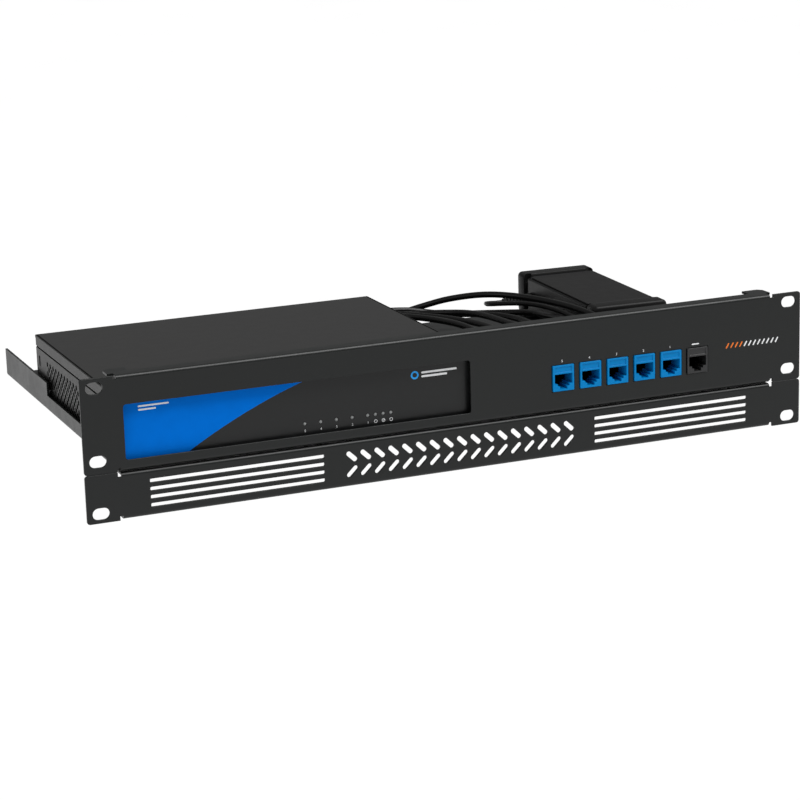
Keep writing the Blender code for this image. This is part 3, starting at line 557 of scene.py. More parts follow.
def ear(side, ear_z, sheet_z):
    """A flat ear with round outer corners, reaching into the panel between the relief notches."""
    r = CORNER
    z0, z1 = ear_z
    inside = FLANGE_HALF - 2
    low, high = sheet_z[0] + BEND, sheet_z[1] - BEND
    outline = [(inside, low), (NOTCH_HALF, low), (NOTCH_HALF, z0)]
    outline += arc(RACK_HALF - r, z0 + r, r, 270, 360, 8) + arc(RACK_HALF - r, z1 - r, r, 0, 90, 8)
    outline += [(NOTCH_HALF, z1), (NOTCH_HALF, high), (inside, high)]
    return prism("ear", [(side * x, z) for x, z in outline], FRONT, 0)


def rack_slots(levels):
    """Cutters for the oblong rack screw slots in both ears."""
    half = (SLOT_LONG - SLOT_TALL) / 2
    places = [(x, z) for x in (-SLOT_X, SLOT_X) for z in levels]
    outlines = [capsule((x - half, z), (x + half, z), SLOT_TALL, 14) for x, z in places]
    return [prism("slot", outline, *PANEL_CUT) for outline in outlines]


def tray_trough():
    """The tray's floor with its two side walls, open at both ends."""
    outline = channel((-WALL_OUT, WALL_OUT), TRAY_Z0, WALL_HIGH, BEND, SHEET, 8)
    return prism("trough", outline, TROUGH_FRONT, TRAY_BACK)


def tray_tab(side):
    """A short tab at one end of the top flange, with its outer rear corner cut off."""
    front = FLANGE_BACK - 3.5
    outline = [(TAB_IN, front), (TAB_OUT, front), (TAB_OUT, TAB_BACK - TAB_CROPPED)]
    outline += [(TAB_OUT - TAB_CROPPED, TAB_BACK), (TAB_IN, TAB_BACK)]
    return prism("tab", [(side * x, y) for x, y in outline], TRAY_Z1 - SHEET, TRAY_Z1, "Z")


def rack_tray(looks):
    """Front panel, top flange, floor and side walls, bent and joined as one sheet-metal piece."""
    section = sheet_section(TRAY_Z0, TRAY_Z1, FLOOR_FRONT, FLANGE_BACK)
    tray = prism("bent_rack_tray", section, -FLANGE_HALF, FLANGE_HALF, "X", looks["panel"])
    ears = [ear(side, (TRAY_Z0, TRAY_Z1), (TRAY_Z0, TRAY_Z1)) for side in (-1, 1)]
    union(tray, [tray_trough(), *ears, tray_tab(-1), tray_tab(1)])
    cutters = rack_slots(TRAY_SLOTS)
    for side in (-1, 1):
        x = sorted(side * edge for edge in WALL_CUT_X)
        cutters.append(box("step", x, (0.5, WALL_STEP_Y), (WALL_LOW, WALL_HIGH + 5)))
    cutters.append(prism("window", round_rect(WINDOW_X, WINDOW_Z, WINDOW_CORNER), *PANEL_CUT))
    half = COUPLER_WIDE / 2 + GAP
    sides = (COUPLER_Z[0] - GAP, COUPLER_Z[1] + GAP)
    for x in COUPLER_X:
        cutters.append(prism("aperture", round_rect(around(x, half), sides, 0.4, 3), *PANEL_CUT))
    for at in (SIDE_SCREW_AT, REAR_SCREW_AT):
        cutters.append(rod("screw_hole", TRAY_Z0 - 3, FLOOR_TOP + 3, SCREW_HOLE_R, (*at, 0), "Z"))
    stand_in(eased(cut(tray, cutters)), "rack_tray")


def chevron_cutters():
    """A band of two-part chevrons with rounded strokes, split by a web at mid height."""
    cutters = []
    first = -CHEVRON_PITCH * (CHEVRON_COUNT - 1) / 2
    half = CHEVRON_WIDTH / 2
    for k in range(CHEVRON_COUNT):
        x = first + k * CHEVRON_PITCH
        for level, (low, high) in enumerate(CHEVRON_LEVELS):
            lean = CHEVRON_LEAN / 2 if level == 0 else -CHEVRON_LEAN / 2
            outline = capsule((x - lean, low + half), (x + lean, high - half), CHEVRON_WIDTH)
            cutters.append(prism("chevron", outline, *PANEL_CUT))
    return cutters


def lower_vent_panel(looks):
    """The narrow filler panel under the tray, with slots at both ends and a chevron band between."""
    section = sheet_section(*LOWER_Z, LOWER_BACK, LOWER_BACK)
    panel = prism("bent_vent_panel", section, -FLANGE_HALF, FLANGE_HALF, "X", looks["panel"])
    union(panel, [ear(-1, LOWER_EAR_Z, LOWER_Z), ear(1, LOWER_EAR_Z, LOWER_Z)])
    cutters = rack_slots([LOWER_SLOT_Z]) + chevron_cutters()
    half = VENT_TALL / 2
    for side in (-1, 1):
        for row in range(VENT_ROWS):
            z = VENT_FIRST_Z + row * VENT_PITCH
            outline = round_rect((VENT_IN, VENT_OUT), around(z, half), VENT_CORNER)
            cutters.append(prism("vent", [(side * u, v) for u, v in outline], *PANEL_CUT))
    stand_in(eased(cut(panel, cutters)), "lower_vent_panel")


def angle_outline(low, near, far, high, thick=SHEET, r=2.0):
    """The section of a small bent angle with one leg on the floor and one upright."""
    outer = arc(near + r, low + r, r, 270, 180, 6)
    inner = arc(near + r, low + r, r - thick, 180, 270, 5)
    return [(far, low)] + outer + [(near, high), (near + thick, high)] + inner + [(far, low + thick)]


def brackets(looks):
    """Two small angles screwed to the tray floor: one beside the device, one behind it."""
    low = FLOOR_TOP + GAP
    # Node, place of the upright leg, end of the floor leg, run along the bend, its axis, and the screw
    places = (
        ("side_bracket", BOX_X[1] + 0.5, 29.5, (98.0, 122.0), "Y", SIDE_SCREW_AT),
        ("rear_bracket", LIP_Y[1] + 0.5, 209.0, (-199.0, -175.0), "X", REAR_SCREW_AT),
    )
    for node, near, far, run, axis, at in places:
        outline = angle_outline(low, near, far, BRACKET_HIGH)
        piece = prism("bent_" + node, outline, *run, axis, looks["panel"])
        cut(piece, [rod("hole", low - 2, low + 4, SCREW_HOLE_R, (*at, 0), "Z")])
        stand_in(eased(piece), node)


def cross_screw(name, head, shank, centre, axis, look):
    """A pan-head screw with a cross recess; head and shank are (radius, length)."""
    r, tall = head
    dome = [(tall * (0.35 + 0.65 * sin(t)), r * cos(t)) for t in [radians(15 * k) for k in range(6)]]
    profile = [(-shank[1], shank[0] * 0.6), (-shank[1] + 0.6, shank[0]), (0.0, shank[0]), (0.0, r * 0.95)]
    screw = turned(name, profile + dome + [(tall, r * 0.12)], centre, axis, 32, look)
    u, v, start = centre if axis == "Z" else (centre[0], centre[2], centre[1])
    wide, long = r * 0.14, r * 0.52
    for first, second in ((long, wide), (wide, long)):
        outline = rect(around(u, first), around(v, second))
        cutter = prism("recess", outline, start + tall * 0.35, start + tall + 1, axis)
        boolean(screw, [cutter], "DIFFERENCE")
    return smooth(screw)


def screws(looks):
    """Two small screws in the lid's rear lip, and a larger one through each bracket."""
    top = FLOOR_TOP + 2 * GAP + SHEET
    back = LIP_Y[1] + GAP
    small = (2.7, 1.6), (1.35, 4.5), "Y"
    large = (3.6, 2.2), (1.8, 5.5), "Z"
    places = (
        ("lid_screw_left", small, (LID_SCREW_X[0], back, LID_SCREW_Z)),
        ("lid_screw_right", small, (LID_SCREW_X[1], back, LID_SCREW_Z)),
        ("side_bracket_screw", large, (*SIDE_SCREW_AT, top)),
        ("rear_bracket_screw", large, (*REAR_SCREW_AT, top)),
    )
    for node, (head, shank, axis), centre in places:
        screw = cross_screw("cross_" + node, head, shank, centre, axis, looks["zinc"])
        stand_in(screw, node)


# ---- couplers and plugs


def stepped_outline(x, z):
    """A modular socket's mouth: wide above, with two steps below for the plug's latch."""
    wide = SOCKET_WIDE / 2
    tall = SOCKET_TALL / 2
    left = [(-wide, tall), (-wide, -tall)]
    depth = 0.0
    for half, drop in SOCKET_STEPS:
        left += [(-half, -tall - depth), (-half, -tall - drop)]
        depth = drop
    return [(x + u, z + v) for u, v in left + [(-u, v) for u, v in reversed(left)]]


def coupler_shell(node, x, look):
    """An in-line coupler: rimmed front face, body behind it, hooks, and a socket at each end."""
    outline = round_rect(around(x, COUPLER_WIDE / 2 - COUPLER_SIDE), COUPLER_Z, 0.5, 4)
    body = prism(node + "_shell", outline, COUPLER_FRONT, 9.0, "Y", look)
    outline = round_rect(around(x, COUPLER_REAR_HALF), COUPLER_REAR_Z, 0.6, 4)
    rear = prism("rear", outline, 8.0, COUPLER_BACK)
    low, high = COUPLER_Z
    hook = [(GAP, high - 1), (GAP, high + 1.6), (1.5, high + 1.6), (7.0, high - 1)]
    upper = prism("hook", hook, x - 4, x + 4, "X")
    lip = [(GAP, low + 1), (GAP, low - 1.4), (2.5, low - 1.4), (4.0, low + 1)]
    lower = prism("lip", lip, x - 5, x + 5, "X")
    union(body, [rear, upper, lower])
    outline = round_rect(around(x, LABEL_HALF), LABEL_Z, 0.4, 3)
    label = prism("label", outline, COUPLER_FRONT - 1, COUPLER_FRONT + 0.4)
    mouths = (COUPLER_FRONT - 1, COUPLER_FRONT + SOCKET_DEEP), (COUPLER_BACK - SOCKET_DEEP, COUPLER_BACK + 1)
    sockets = [prism("socket", stepped_outline(x, SOCKET_Z), *mouth) for mouth in mouths]
    sides = (x - 8.0, x - 6.7), (x + 6.7, x + 8.0)
    grooves = [box("groove", side, (14.0, 26.0), (48.0, 49.0)) for side in sides]
    return eased(cut(body, [label, *sockets, *grooves]), 0.12)


def socket_shade_block(name, x, look):
    """A black block at the back of the front socket, behind its contacts: painted shade for the depth of the
    socket.
    """
    back = COUPLER_FRONT + SOCKET_DEEP
    return box(name, around(x, 5.9), (back - 0.3, back + 0.5), (SOCKET_Z - 5.6, SOCKET_Z + 2.9), look)


def coupler_contacts(name, x, look):
    """Eight sprung wires that slope down into the front socket from its top."""
    wires = []
    for k in range(8):
        u = x + (k - 3.5) * CONTACT_PITCH
        wires.append(prism("wire", CONTACT_WIRE, *around(u, CONTACT_HALF), "X"))
    return gathered(name, wires, look)


def couplers(looks):
    """The six couplers, each with its contacts and the black block of painted shade behind them."""
    for name, x in zip(COUPLER_NAMES, COUPLER_X):
        node = "coupler_" + name
        black = name == "console"
        shell = coupler_shell(node, x, looks["black"] if black else looks["blue"])
        stand_in(shell, node)
        attach(coupler_contacts(node + "_contacts", x, looks["gold"]))
        # A black block at the back of each front socket: painted shade for the socket's depth
        attach(socket_shade_block(node + "_socket_shade_block", x, looks["black"]))


def plug_rings(x, z, mouth):
    """Rings of a plug with its boot: square nose, waisted body, and a ribbed tail narrowing to the lead."""
    # Distance from the socket's mouth, width, height and corner radius
    shapes = [(-12.0, 11.4, 5.6, 0.8), (0.8, 11.4, 5.6, 0.8), (1.2, 11.9, 7.6, 1.6), (2.0, 12.5, 8.3, 2.0)]
    shapes += [(7.4, 12.4, 8.2, 2.2), (9.6, 11.0, 7.8, 2.6), (11.6, 8.7, 7.2, 3.0)]
    pitch = (PLUG_OUT - 12.6) / PLUG_RIBS
    for k in range(PLUG_RIBS):
        start = 12.2 + k * pitch
        wide = 8.2 - 0.55 * k
        for along, size in ((0.0, wide), (0.55, wide), (0.6, wide - 1.5), (0.95, wide - 1.5)):
            shapes.append((start + along * pitch, size, min(size, 7.0), min(size, 7.0) * 0.42))
    shapes.append((PLUG_OUT, 5.4, 5.4, 2.5))
    rings = []
    for along, wide, tall, r in shapes:
        outline = round_rect(around(0, wide / 2), around(0, tall / 2), min(r, tall * 0.45), 4)
        rings.append([(x + u, mouth + along, z + v) for u, v in outline])
    return rings


def booted_plug(node, x, z, mouth, looks):
    """A modular plug in a moulded boot, shown instead of its CAD node."""
    plug = loft("booted_" + node, plug_rings(x, z, mouth), looks["boot"])
    stand_in(smooth(plug, 30), node)
    return plug


# ---- leads


def smooth_line(points, spacing):
    """Evenly spaced points on a smooth curve through the route's own points."""
    knots = [Vector(p) for p in points]
    ends = [2 * knots[0] - knots[1]] + knots + [2 * knots[-1] - knots[-2]]
    dense = []
    for k in range(1, len(ends) - 2):
        before, start, end, after = ends[k - 1 : k + 3]
        for step in range(24):
            t = step / 24
            point = 2 * start + (end - before) * t
            point += (2 * before - 5 * start + 4 * end - after) * t**2
            point += (3 * start - before - 3 * end + after) * t**3
            dense.append(point / 2)
    dense.append(knots[-1])
    travelled = [0.0]
    for before, after in zip(dense, dense[1:]):
        travelled.append(travelled[-1] + (after - before).length)
    count = max(2, round(travelled[-1] / spacing))
    line = []
    k = 0
    for step in range(count + 1):
        want = travelled[-1] * step / count
        while k < len(travelled) - 2 and travelled[k + 1] < want:
            k += 1
        span = travelled[k + 1] - travelled[k]
        line.append(dense[k].lerp(dense[k + 1], (want - travelled[k]) / span))
    return line


def tube(name, line, radius, look):
    """A round cord along a line, as a curve with filled ends."""
    curve = bpy.data.curves.new(name, "CURVE")
    curve.dimensions = "3D"
    curve.bevel_depth = radius * MM
    curve.bevel_resolution = 5
    curve.use_fill_caps = True
    spline = curve.splines.new("POLY")
    spline.points.add(len(line) - 1)
    for point, spot in zip(spline.points, line):
        point.co = (*(spot * MM), 1.0)
    spline.use_smooth = True
    curve.materials.append(look)
    return linked(name, curve)


def lead_points(index, name):
    """A patch lead's whole route, straight out of both plugs."""
    x0, x1 = COUPLER_X[index], DEVICE_PORT_X[index]
    start = [(x0, LEAD_START_Y, SOCKET_Z), (x0, LEAD_START_Y + 10, SOCKET_Z)]
    turn = (x1 + 3.0, LEAD_END_Y + 14 + index * 4.6, PORT_Z)
    return start + LEAD_ROUTES[name] + [turn, (x1, LEAD_END_Y + 6, PORT_Z), (x1, LEAD_END_Y, PORT_Z)]


def free_cord(node, line, radius, pieces, looks):
    """Shows a cord on its route, in place of its CAD node. pieces is not used."""
    cord = tube("jacketed_" + node, line, radius, looks["jacket"])
    stand_in(cord, node)


def patch_leads(looks):
    """The six patch leads, each with a booted plug at both ends."""
    for index, name in enumerate(COUPLER_NAMES):
        first = booted_plug("coupler_plug_" + name, COUPLER_X[index], SOCKET_Z, COUPLER_BACK, looks)
        last = booted_plug("device_plug_" + name, DEVICE_PORT_X[index], PORT_Z, JACK_FACE, looks)
        line = smooth_line(lead_points(index, name), LEAD_SPACING)
        free_cord("patch_lead_" + name, line, LEAD_R, [first, last], looks)


def dc_plug(looks):
    """A right-angled barrel plug: its barrel points forward into the jack, and its tail to the right."""
    depth = (JACK_FACE + 0.6, JACK_FACE + 11.6)
    barrel_profile = [(JACK_FACE - 9.0, 2.3), (JACK_FACE - 8.6, 2.75), (JACK_FACE + 2.0, 2.75)]
    plug = turned("angled_dc_plug", barrel_profile, (DC_X, 0, PORT_Z), "Y", 32, looks["boot"])
    body = prism("body", round_rect((DC_X - 5.5, DC_X + 8.0), around(PORT_Z, 5.2), 3.0, 6), *depth)
    profile = [(7.5, 4.2), (11.0, 3.9)]
    for k in range(4):
        start = 11.4 + k * 1.9
        r = 3.7 - 0.3 * k
        profile += [(start, r - 0.7), (start + 0.7, r - 0.7), (start + 0.7, r), (start + 1.9, r)]
    profile.append((19.0, 2.4))
    tail = turned("tail", profile, (DC_X, sum(depth) / 2, PORT_Z), "X", 24)
    stand_in(eased(union(plug, [body, tail]), 0.3, 3), "dc_plug")
    return plug


def relief_profile():
    """A ribbed strain relief that narrows from the sleeve's wall to the lead, along -X."""
    inner = ADAPTER_WALL + GAP
    profile = [(3.0, 4.4), (inner, 4.4), (inner, 3.0), (-GAP, 3.0), (-GAP, 4.6), (-3.0, 4.6)]
    pitch = (RELIEF_LONG - 4.0) / RELIEF_RIBS
    for k in range(RELIEF_RIBS):
        start = -3.0 - k * pitch
        radius = 4.2 - 0.2 * k
        profile += [(start, radius - 0.9), (start - pitch * 0.4, radius - 0.9)]
        profile += [(start - pitch * 0.45, radius), (start - pitch * 0.95, radius)]
    profile += [(-RELIEF_LONG + 0.6, 2.6), (-RELIEF_LONG, 2.2)]
    return profile


def seated(item):
    """Moves a piece from the adapter's own frame to its place in the tray."""
    corner = Matrix.Translation((ADAPTER_AT[0] * MM, ADAPTER_AT[1] * MM, 0))
    item.data.transform(corner @ Matrix.Rotation(ADAPTER_TURN, 4, "Z"))
    return item


def adapter_point(x, y, z):
    """A point in the adapter's frame, as a point of the whole object."""
    spot = Matrix.Rotation(ADAPTER_TURN, 3, "Z") @ Vector((x, y, z))
    return (spot.x + ADAPTER_AT[0], spot.y + ADAPTER_AT[1], z)


def dc_lead(looks):
    """The thin lead from the device's power plug to the ribbed relief on the adapter."""
    relief = seated(turned("ribbed_dc_relief", relief_profile(), (0, RELIEF_AT, RELIEF_Z), "X", 28))
    relief.data.materials.append(looks["rubber"])
    stand_in(smooth(relief, 40), "dc_relief")
    start = [(DC_X + 19.0 + along, JACK_FACE + 6.1, PORT_Z) for along in (2 * GAP, 5.0)]
    end = [adapter_point(-RELIEF_LONG - along, RELIEF_AT, RELIEF_Z) for along in (6.0, 2 * GAP)]
    line = smooth_line(start + DC_ROUTE + end, LEAD_SPACING)
    free_cord("dc_lead", line, DC_R, [dc_plug(looks), relief], looks)


# ---- device


def vent_holes(x):
    """Cutters for the staggered round vents through one side of the case."""
    cutters = []
    for row in range(HOLE_ROWS):
        z = HOLE_TOP_Z - row * HOLE_PITCH_Z
        for column in range(HOLE_COLUMNS):
            y = HOLE_REAR_Y - (column + 0.5 * (row % 2)) * HOLE_PITCH_Y
            cutters.append(rod("vent", *around(x, 2), HOLE_R, (0, y, z), "X", 12))
    return cutters


def device_base(looks):
    """The lower case: a perforated U of sheet steel with board posts and a lock slot."""
    low = BOX_Z[0]
    outline = channel(BOX_X, low, SEAM_Z - SEAM_GAP, 1.6, VENT_SHEET, 6)
    base = prism("vented_device_base", outline, *BOX_Y, "Y", looks["case"])
    union(base, [rod("post", low + 0.5, POST_TOP, POST_R, (x, y, 0), "Z") for x in POST_X for y in POST_Y])
    lock = prism("lock", round_rect(LOCK_Y, LOCK_Z, 0.9, 4), *around(BOX_X[0], 2), "X")
    cut(base, [lock] + vent_holes(BOX_X[0]) + vent_holes(BOX_X[1]))
    stand_in(eased(base, 0.08, 1), "device_base")


def device_lid(looks):
    """The upper case: a shallow lid with a fine groove along each side of its top, and a rear lip.

    The groove ends short of the rear edge, and a tab behind the seam closes each rear corner.
    """
    t = CASE_SHEET
    x0, x1 = BOX_X
    z0, z1 = SEAM_Z, BOX_Z[1]
    deep = z1 - LID_GROOVE
    rim = x0 + LID_RIM
    left = [(x0, z0), (x0, z1 - LID_CHAMFER), (x0 + LID_CHAMFER, z1), (rim, z1), (rim, deep)]
    left += [(rim + LID_GROOVE, deep), (rim + LID_GROOVE, z1)]
    right = [(x0 + x1 - x, z) for x, z in reversed(left)]
    inside = [(x1 - t, z0), (x1 - t, deep - t), (x0 + t, deep - t), (x0 + t, z0)]
    lid = prism("grooved_device_lid", left + right + inside, BOX_Y[0], LIP_Y[1], "Y", looks["case"])
    notch_y, notch_z = (BOX_Y[1], LIP_Y[1] + 1), (z0 - 1, z1 - 2)
    cut(lid, [box("notch", around(x, 1.3), notch_y, notch_z) for x in BOX_X])
    lip_x = (x0 + t + GAP, x1 - t - GAP)
    union(lid, [box("lip", lip_x, LIP_Y, (LIP_LOW, z1 - 0.5))])
    corners = []
    for x in ((x0 + 0.45, x0 + 1.9), (x1 - 1.9, x1 - 0.45)):
        corners.append(box("groove_end", x, (LIP_Y[1] - 1.2, LIP_Y[1]), (deep - 0.4, z1)))
    tab_y, tab_z = (BOX_Y[1] - 1.3, LIP_Y[0] + 0.2), (z0 - SEAM_GAP - 1, z0 + 1)
    for x in ((x0 + 0.45, lip_x[0] + 0.2), (lip_x[1] - 0.2, x1 - 0.45)):
        corners.append(box("corner_tab", x, tab_y, tab_z))
    union(lid, corners)
    through = (LIP_Y[0] - 2, LIP_Y[1] + 2)
    holes = [rod("hole", *through, LID_HOLE_R, (x, 0, LID_SCREW_Z), "Y") for x in LID_SCREW_X]
    stand_in(eased(cut(lid, holes)), "device_lid")


def blue_field_outline():
    """The front film's blue area: the plate's left end, cut off by one long soft curve."""
    left, low, high = WINDOW_X[0] - 1.2, WINDOW_Z[0] - 1.2, WINDOW_Z[1] + 0.3
    start, control, end = Vector((-175.8, low)), Vector((-138.7, 58.1)), Vector((-98.0, high))
    steps = [k / 24 for k in range(25)]
    curve = [start.lerp(control, t).lerp(control.lerp(end, t), t) for t in steps]
    return [(left, high), (left, low)] + [tuple(point) for point in curve]


def ring(name, x, z, outer, inner, y, look=None):
    """A flat printed ring on a face that looks forward."""
    disc = prism(name, arc(x, z, outer, 0, 350, 35), *y, "Y", look)
    return cut(disc, [prism("hole", arc(x, z, inner, 0, 350, 35), y[0] - 1, y[1] + 1)])


def bar_pair(name, left, lines, tall, y, look):
    """Plain printed bars in place of words; lines lists each bar's height and right end."""
    bars = [prism("bar", capsule((left, z), (right, z), tall), *y) for z, right in lines]
    return gathered(name, bars, look)


def printed_digits(name, items, y, size, look):
    """Plain numbers printed on a face that looks forward; items lists (text, x, z)."""
    pieces = []
    for text, x, z in items:
        font = bpy.data.curves.new("digit", "FONT")
        font.body = text
        font.size = size * MM
        font.extrude = 0.03 * MM
        font.align_x = font.align_y = "CENTER"
        shown = linked("digit", font)
        bpy.context.view_layer.update()
        mesh = bpy.data.meshes.new_from_object(shown)
        bpy.data.objects.remove(shown, do_unlink=True)
        mesh.transform(Matrix.Translation((x * MM, y * MM, z * MM)) @ Matrix.Rotation(pi / 2, 4, "X"))
        pieces.append(add("digit", mesh))
    return gathered(name, pieces, look)


def device_faceplate(looks):
    """The plastic front with its printed film, seen through the panel's window."""
    plate = prism("glossy_faceplate", round_rect(BOX_X, BOX_Z, 2.0), *PLATE_Y, "Y", looks["film"])
    through = (PLATE_Y[0] - 2, PLATE_Y[1] + 2)
    holes = [rod("hole", *through, LED_HOLE_R, (x, 0, LED_Z), "Y", 24) for x in LED_X]
    stand_in(eased(cut(plate, holes), 0.1), "device_faceplate")
    white = looks["white_ink"]
    film_y = (PLATE_Y[0] - 0.08, PLATE_Y[0] - 0.01)
    ink_y = (film_y[0] - 0.06, film_y[0] - 0.01)
    items = [(text, x, LED_DIGIT_Z) for text, x in zip("54321", LED_X)]
    rings = [ring("ring", x, LED_RING_Z, 1.1, 0.78, film_y) for x in LED_X[5:]]
    slash = capsule((LED_X[6] - 0.5, LED_RING_Z - 0.5), (LED_X[6] + 0.5, LED_RING_Z + 0.5), 0.35)
    rings.append(prism("slash", slash, *film_y))
    printed = (
        prism("blue_film_field", blue_field_outline(), *film_y, "Y", looks["blue_film"]),
        bar_pair("generic_title_bars", -205.0, ((67.4, -187.0), (65.2, -195.0)), 1.0, ink_y, white),
        printed_digits("port_light_digits", items, PLATE_Y[0] - 0.04, 2.1, white),
        gathered("status_rings", rings, white),
        ring("generic_badge_ring", -29.0, 64.6, 2.6, 1.5, film_y, looks["sky_ink"]),
        bar_pair("generic_badge_bars", -24.0, ((65.7, -1.5), (63.3, -8.0)), 1.3, film_y, white),
    )
    for mark in printed:
        attach(mark)


def light_pipe(looks):
    """One clear bar with a domed prong behind each front light."""
    bar_x = (LED_X[0] - 3, LED_X[-1] + 3)
    bar = box("domed_light_pipe", bar_x, (7.0, 11.0), around(LED_Z, 2), looks["lens"])
    dome = [(PLATE_Y[0] + 0.02, 0.3), (PLATE_Y[0] + 0.08, 0.7), (PLATE_Y[0] + 0.25, 0.95), (8.0, 0.95)]
    union(bar, [turned("prong", dome, (x, 0, LED_Z), "Y", 24) for x in LED_X])
    stand_in(smooth(bar), "light_pipe")


def panel_print(looks):
    """Port numbers over the couplers and a plain dashed mark at the panel's right end."""
    y = (FRONT - 0.05, FRONT - 0.005)
    white = looks["white_ink"]
    digits = [(text, x - 0.6, NUMBER_Z) for text, x in zip("54321", COUPLER_X)]
    low, high = DASH_Z
    places = [DASH_X + k * DASH_PITCH for k in range(DASH_COUNT)]
    dashes = [prism("dash", capsule((x - 0.8, low), (x + 0.8, high), 0.9), *y) for x in places]
    printed = (
        printed_digits("coupler_numbers", digits, FRONT - 0.035, 2.2, white),
        prism("console_bar", capsule((161.8, 62.5), (166.2, 62.5), 0.8), *y, "Y", white),
        gathered("generic_mark_tail", dashes[DASH_ORANGE:], white),
        gathered("generic_mark_head", dashes[:DASH_ORANGE], looks["orange_ink"]),
    )
    for mark in printed:
        attach(mark)


def buttons(looks):
    """The sprung power button with a dished cap, and the recessed reset pin."""
    power = [(183.0, 3.0), (189.6, 3.0), (189.6, 4.0), (193.5, 4.0), (194.15, 3.8), (194.4, 3.4)]
    power += [(194.2, 1.8), (194.1, 0.4)]
    piece = turned("dished_power_button", power, (POWER_X, 0, PORT_Z), "Y", 40, looks["black"])
    stand_in(smooth(piece), "power_button", "power_button")
    reset = [(183.0, 1.5), (188.5, 1.5), (188.5, 0.9), (191.0, 0.9), (191.2, 0.6)]
    piece = turned("pin_reset_button", reset, (RESET_X, 0, PORT_Z), "Y", 24, looks["black"])
    stand_in(smooth(piece), "reset_button", "reset_button")


def usb_tongues(looks):
    """A plastic tongue inside each USB opening."""
    y = (JACK_FACE - 11.9, JACK_FACE - 1.2)
    tongues = [box("tongue", around(USB_X, 5.6), y, (z + 3.0, z + 4.7)) for z in USB_LEVELS]
    attach(gathered("usb_tongues", tongues, looks["black"]))


# ---- adapter


def section_ring(y, grow, corner):
    """The adapter's cross-section, grown outwards by a distance, as a ring at y."""
    z = (ADAPTER_Z[0] - grow, ADAPTER_Z[1] + grow)
    return [(u, y, v) for u, v in round_rect((-grow, ADAPTER_WIDE + grow), z, corner, 6)]


def adapter_cap(name, end_y, inward, look):
    """An end cap from the adapter's end inwards: a rounded block, then a deep neck next to the sleeve."""
    proud, neck = CAP_PROUD, CAP_LONG - NECK_LONG
    steps = [(0.0, proud - 1.9, 2.2), (0.35, proud - 1.0, 2.6), (1.0, proud - 0.3, 3.0), (1.9, proud, 3.2)]
    steps += [(neck - 0.5, proud, 3.2), (neck, proud - 0.5, 3.0), (neck + 0.1, -ADAPTER_WALL, 2.0)]
    steps += [(CAP_LONG, -ADAPTER_WALL, 2.0)]
    rings = [section_ring(end_y + inward * along, grow, corner) for along, grow, corner in steps]
    return loft(name, rings, look)


def corner_recesses():
    """Cutters for the round recess over each end of the two necks."""
    necks = (CAP_LONG - NECK_LONG / 2, ADAPTER_LONG - CAP_LONG + NECK_LONG / 2)
    sides = (RECESS_R - CAP_PROUD, ADAPTER_WIDE - RECESS_R + CAP_PROUD)
    z = (ADAPTER_Z[1] - RECESS_DEEP, ADAPTER_Z[1] + 3)
    return [rod("recess", *z, RECESS_R, (x, y, 0), "Z", 24) for y in necks for x in sides]


def adapter_sleeve(looks):
    """The hollow sleeve, with a groove along each top edge and a hole for the lead's relief."""
    body_y = (CAP_LONG + GAP, ADAPTER_LONG - CAP_LONG - GAP)
    past_y = (body_y[0] - 1, body_y[1] + 1)
    sleeve = loft("textured_adapter_sleeve", [section_ring(y, 0, 2.4) for y in body_y], looks["adapter"])
    hollow = loft("hollow", [section_ring(y, -ADAPTER_WALL, 1.5) for y in past_y])
    wide, deep = SLEEVE_GROOVE
    groove_z = (ADAPTER_Z[1] - deep, ADAPTER_Z[1] + 1)
    grooves = [box("groove", (x, x + wide), past_y, groove_z) for x in (0.8, ADAPTER_WIDE - 2.0)]
    cut(sleeve, [hollow])
    cut(sleeve, [rod("hole", -3, 3, 3.3, (0, RELIEF_AT, RELIEF_Z), "X")])
    cut(sleeve, grooves)
    cut(sleeve, corner_recesses())
    stand_in(seated(eased(sleeve)), "adapter_sleeve")


def adapter_inlet(looks, middle, inlet_x):
    """The mains inlet: a block with a six-sided recess and three blades."""
    end = ADAPTER_LONG
    outline = round_rect(inlet_x, INLET_Z, 1.4, 5)
    inlet = prism("pinned_inlet", outline, end - 16.5, end - 0.4, "Y", looks["black"])
    left, right = inlet_x[0] + INLET_WALL, inlet_x[1] - INLET_WALL
    low, high = INLET_Z[0] + INLET_WALL, INLET_Z[1] - INLET_WALL
    recess = [(left, low), (right, low), (right, high - 4.5)]
    recess += [(inlet_x[1] - 6.0, high), (inlet_x[0] + 6.0, high), (left, high - 4.5)]
    cut(inlet, [prism("recess", recess, end - 15.0, end + 1)])
    stand_in(seated(eased(inlet)), "adapter_inlet")
    pins = []
    for dx, dz in ((-7, -1.5), (0, 2.5), (7, -1.5)):
        z = around(sum(INLET_Z) / 2 + dz, 2)
        pins.append(box("pin", around(middle + dx, 1), (end - 15.2, end - 6.0), z))
    pins = seated(gathered("inlet_pins", pins, looks["steel"]))
    attach(eased(pins, 0.4))


def adapter(looks):
    """The power adapter: a sleeve between two end caps, with the mains inlet in the rear cap."""
    adapter_sleeve(looks)
    front = cut(adapter_cap("grooved_front_cap", 0.0, 1, looks["adapter"]), corner_recesses())
    stand_in(seated(smooth(front, 50)), "adapter_front_cap")
    rear = adapter_cap("grooved_rear_cap", ADAPTER_LONG, -1, looks["adapter"])
    middle = ADAPTER_WIDE / 2
    inlet_x = around(middle, INLET_HALF)
    wider = [(low - GAP, high + GAP) for low, high in (inlet_x, INLET_Z)]
    opening = prism("hole", round_rect(*wider, 1.5, 5), ADAPTER_LONG - CAP_LONG - 1, ADAPTER_LONG + 1)
    cut(rear, [opening, *corner_recesses()])
    stand_in(seated(smooth(rear, 50)), "adapter_rear_cap")
    adapter_inlet(looks, middle, inlet_x)


# ---- carried-over pieces


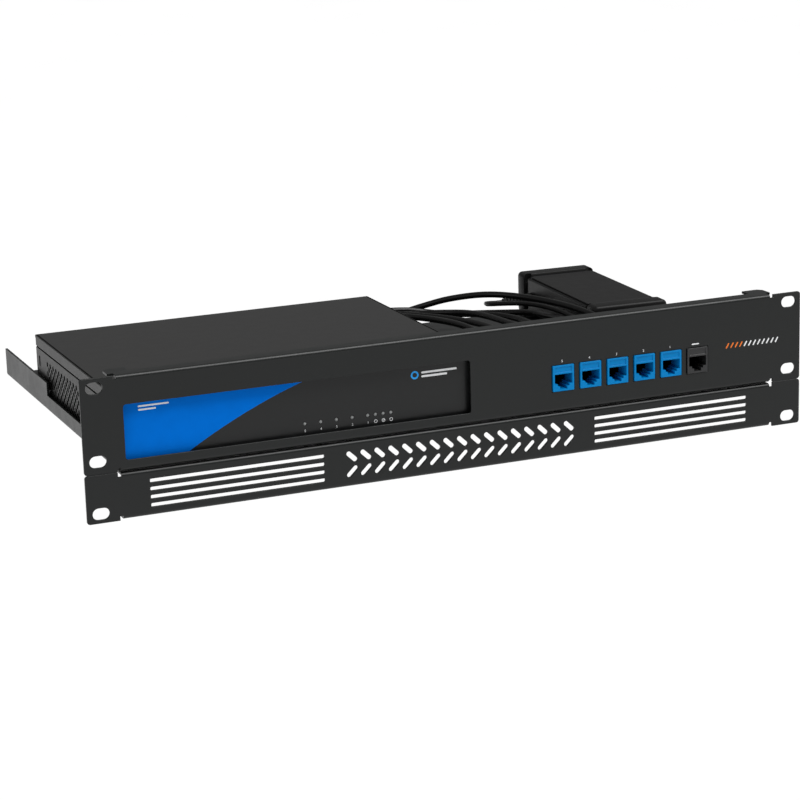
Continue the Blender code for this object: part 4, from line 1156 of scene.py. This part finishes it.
def dress_cad_nodes(looks, nodes):
    """Finishes for the CAD pieces that are shown as they are, with their edges eased."""
    finishes = {
        "case": ["device_rear_panel"],
        "steel": ["lan_jack_block", "console_jack", "usb_socket"],
        "black": ["dc_jack", "power_switch", "reset_switch"],
        "board": ["circuit_board"],
        "anodised": ["heat_sink"],
        "tan_board": ["adapter_board"],
        "rubber": ["adapter_pad", "foot_front_left", "foot_front_right", "foot_rear_left", "foot_rear_right"],
    }
    for look, names in finishes.items():
        for name in names:
            coat(nodes[name].data, looks[look])
            eased(nodes[name], 0.1, 1)


# ---- camera, light and floor


def camera():
    """The camera, by where it stands and how it is turned."""
    flat = cos(CAMERA_PITCH)
    ahead = Vector((sin(CAMERA_YAW) * flat, cos(CAMERA_YAW) * flat, -sin(CAMERA_PITCH)))
    level = Vector((cos(CAMERA_YAW), -sin(CAMERA_YAW), 0))
    upward = level.cross(ahead)
    x = level * cos(CAMERA_ROLL) + upward * sin(CAMERA_ROLL)
    y = upward * cos(CAMERA_ROLL) - level * sin(CAMERA_ROLL)
    data = bpy.data.cameras.new("camera")
    data.lens = CAMERA_LENS
    data.sensor_width = 36.0
    data.clip_start = 0.05
    data.clip_end = 200.0
    item = linked("camera", data)
    item.matrix_world = Matrix((x, y, -ahead)).transposed().to_4x4()
    item.location = CAMERA_AT
    bpy.context.scene.camera = item


def sun(name, energy, spread_angle, elevation, azimuth):
    """A soft distant light. Azimuth 0 shines from the front, and 90 from the right."""
    light = bpy.data.lights.new(name, "SUN")
    light.energy = energy
    light.angle = radians(spread_angle)
    linked(name, light).rotation_euler = (radians(90 - elevation), 0, radians(azimuth))


def studio():
    """A pale floor far below, a dim even surround, and soft suns: high from the right, weak from the left."""
    bpy.context.scene.view_settings.view_transform = "Standard"
    look = surface("pale_floor", (0.92, 0.92, 0.92), 0.8, 2.0, 0.02, specular=0.05, patch=300, vary=0.005)
    h = FLOOR_HALF / MM
    points = [(x, y, FLOOR_Z / MM) for x, y in ((-h, -h), (h, -h), (h, h), (-h, h))]
    floor = add("floor", mesh_from(points, [(0, 1, 2, 3)]), look)
    world = bpy.data.worlds.new("surround")
    world.use_nodes = True
    fill(world.node_tree.nodes["Background"], {"Color": (1.0, 1.0, 1.0, 1.0), "Strength": SURROUND})
    bpy.context.scene.world = world
    sun("overhead", energy=3.0, spread_angle=36, elevation=61, azimuth=50)
    sun("left_side", energy=0.34, spread_angle=40, elevation=24, azimuth=-78)


def main():
    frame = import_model()
    camera()
    studio()
    looks = make_looks()
    for build in (patch_leads, dc_lead, rack_tray, lower_vent_panel, brackets, screws, couplers, device_base,
                  device_lid, device_faceplate, light_pipe, panel_print, buttons, usb_tongues, adapter):
        build(looks)
    dress_cad_nodes(looks, frame["nodes"])


main()
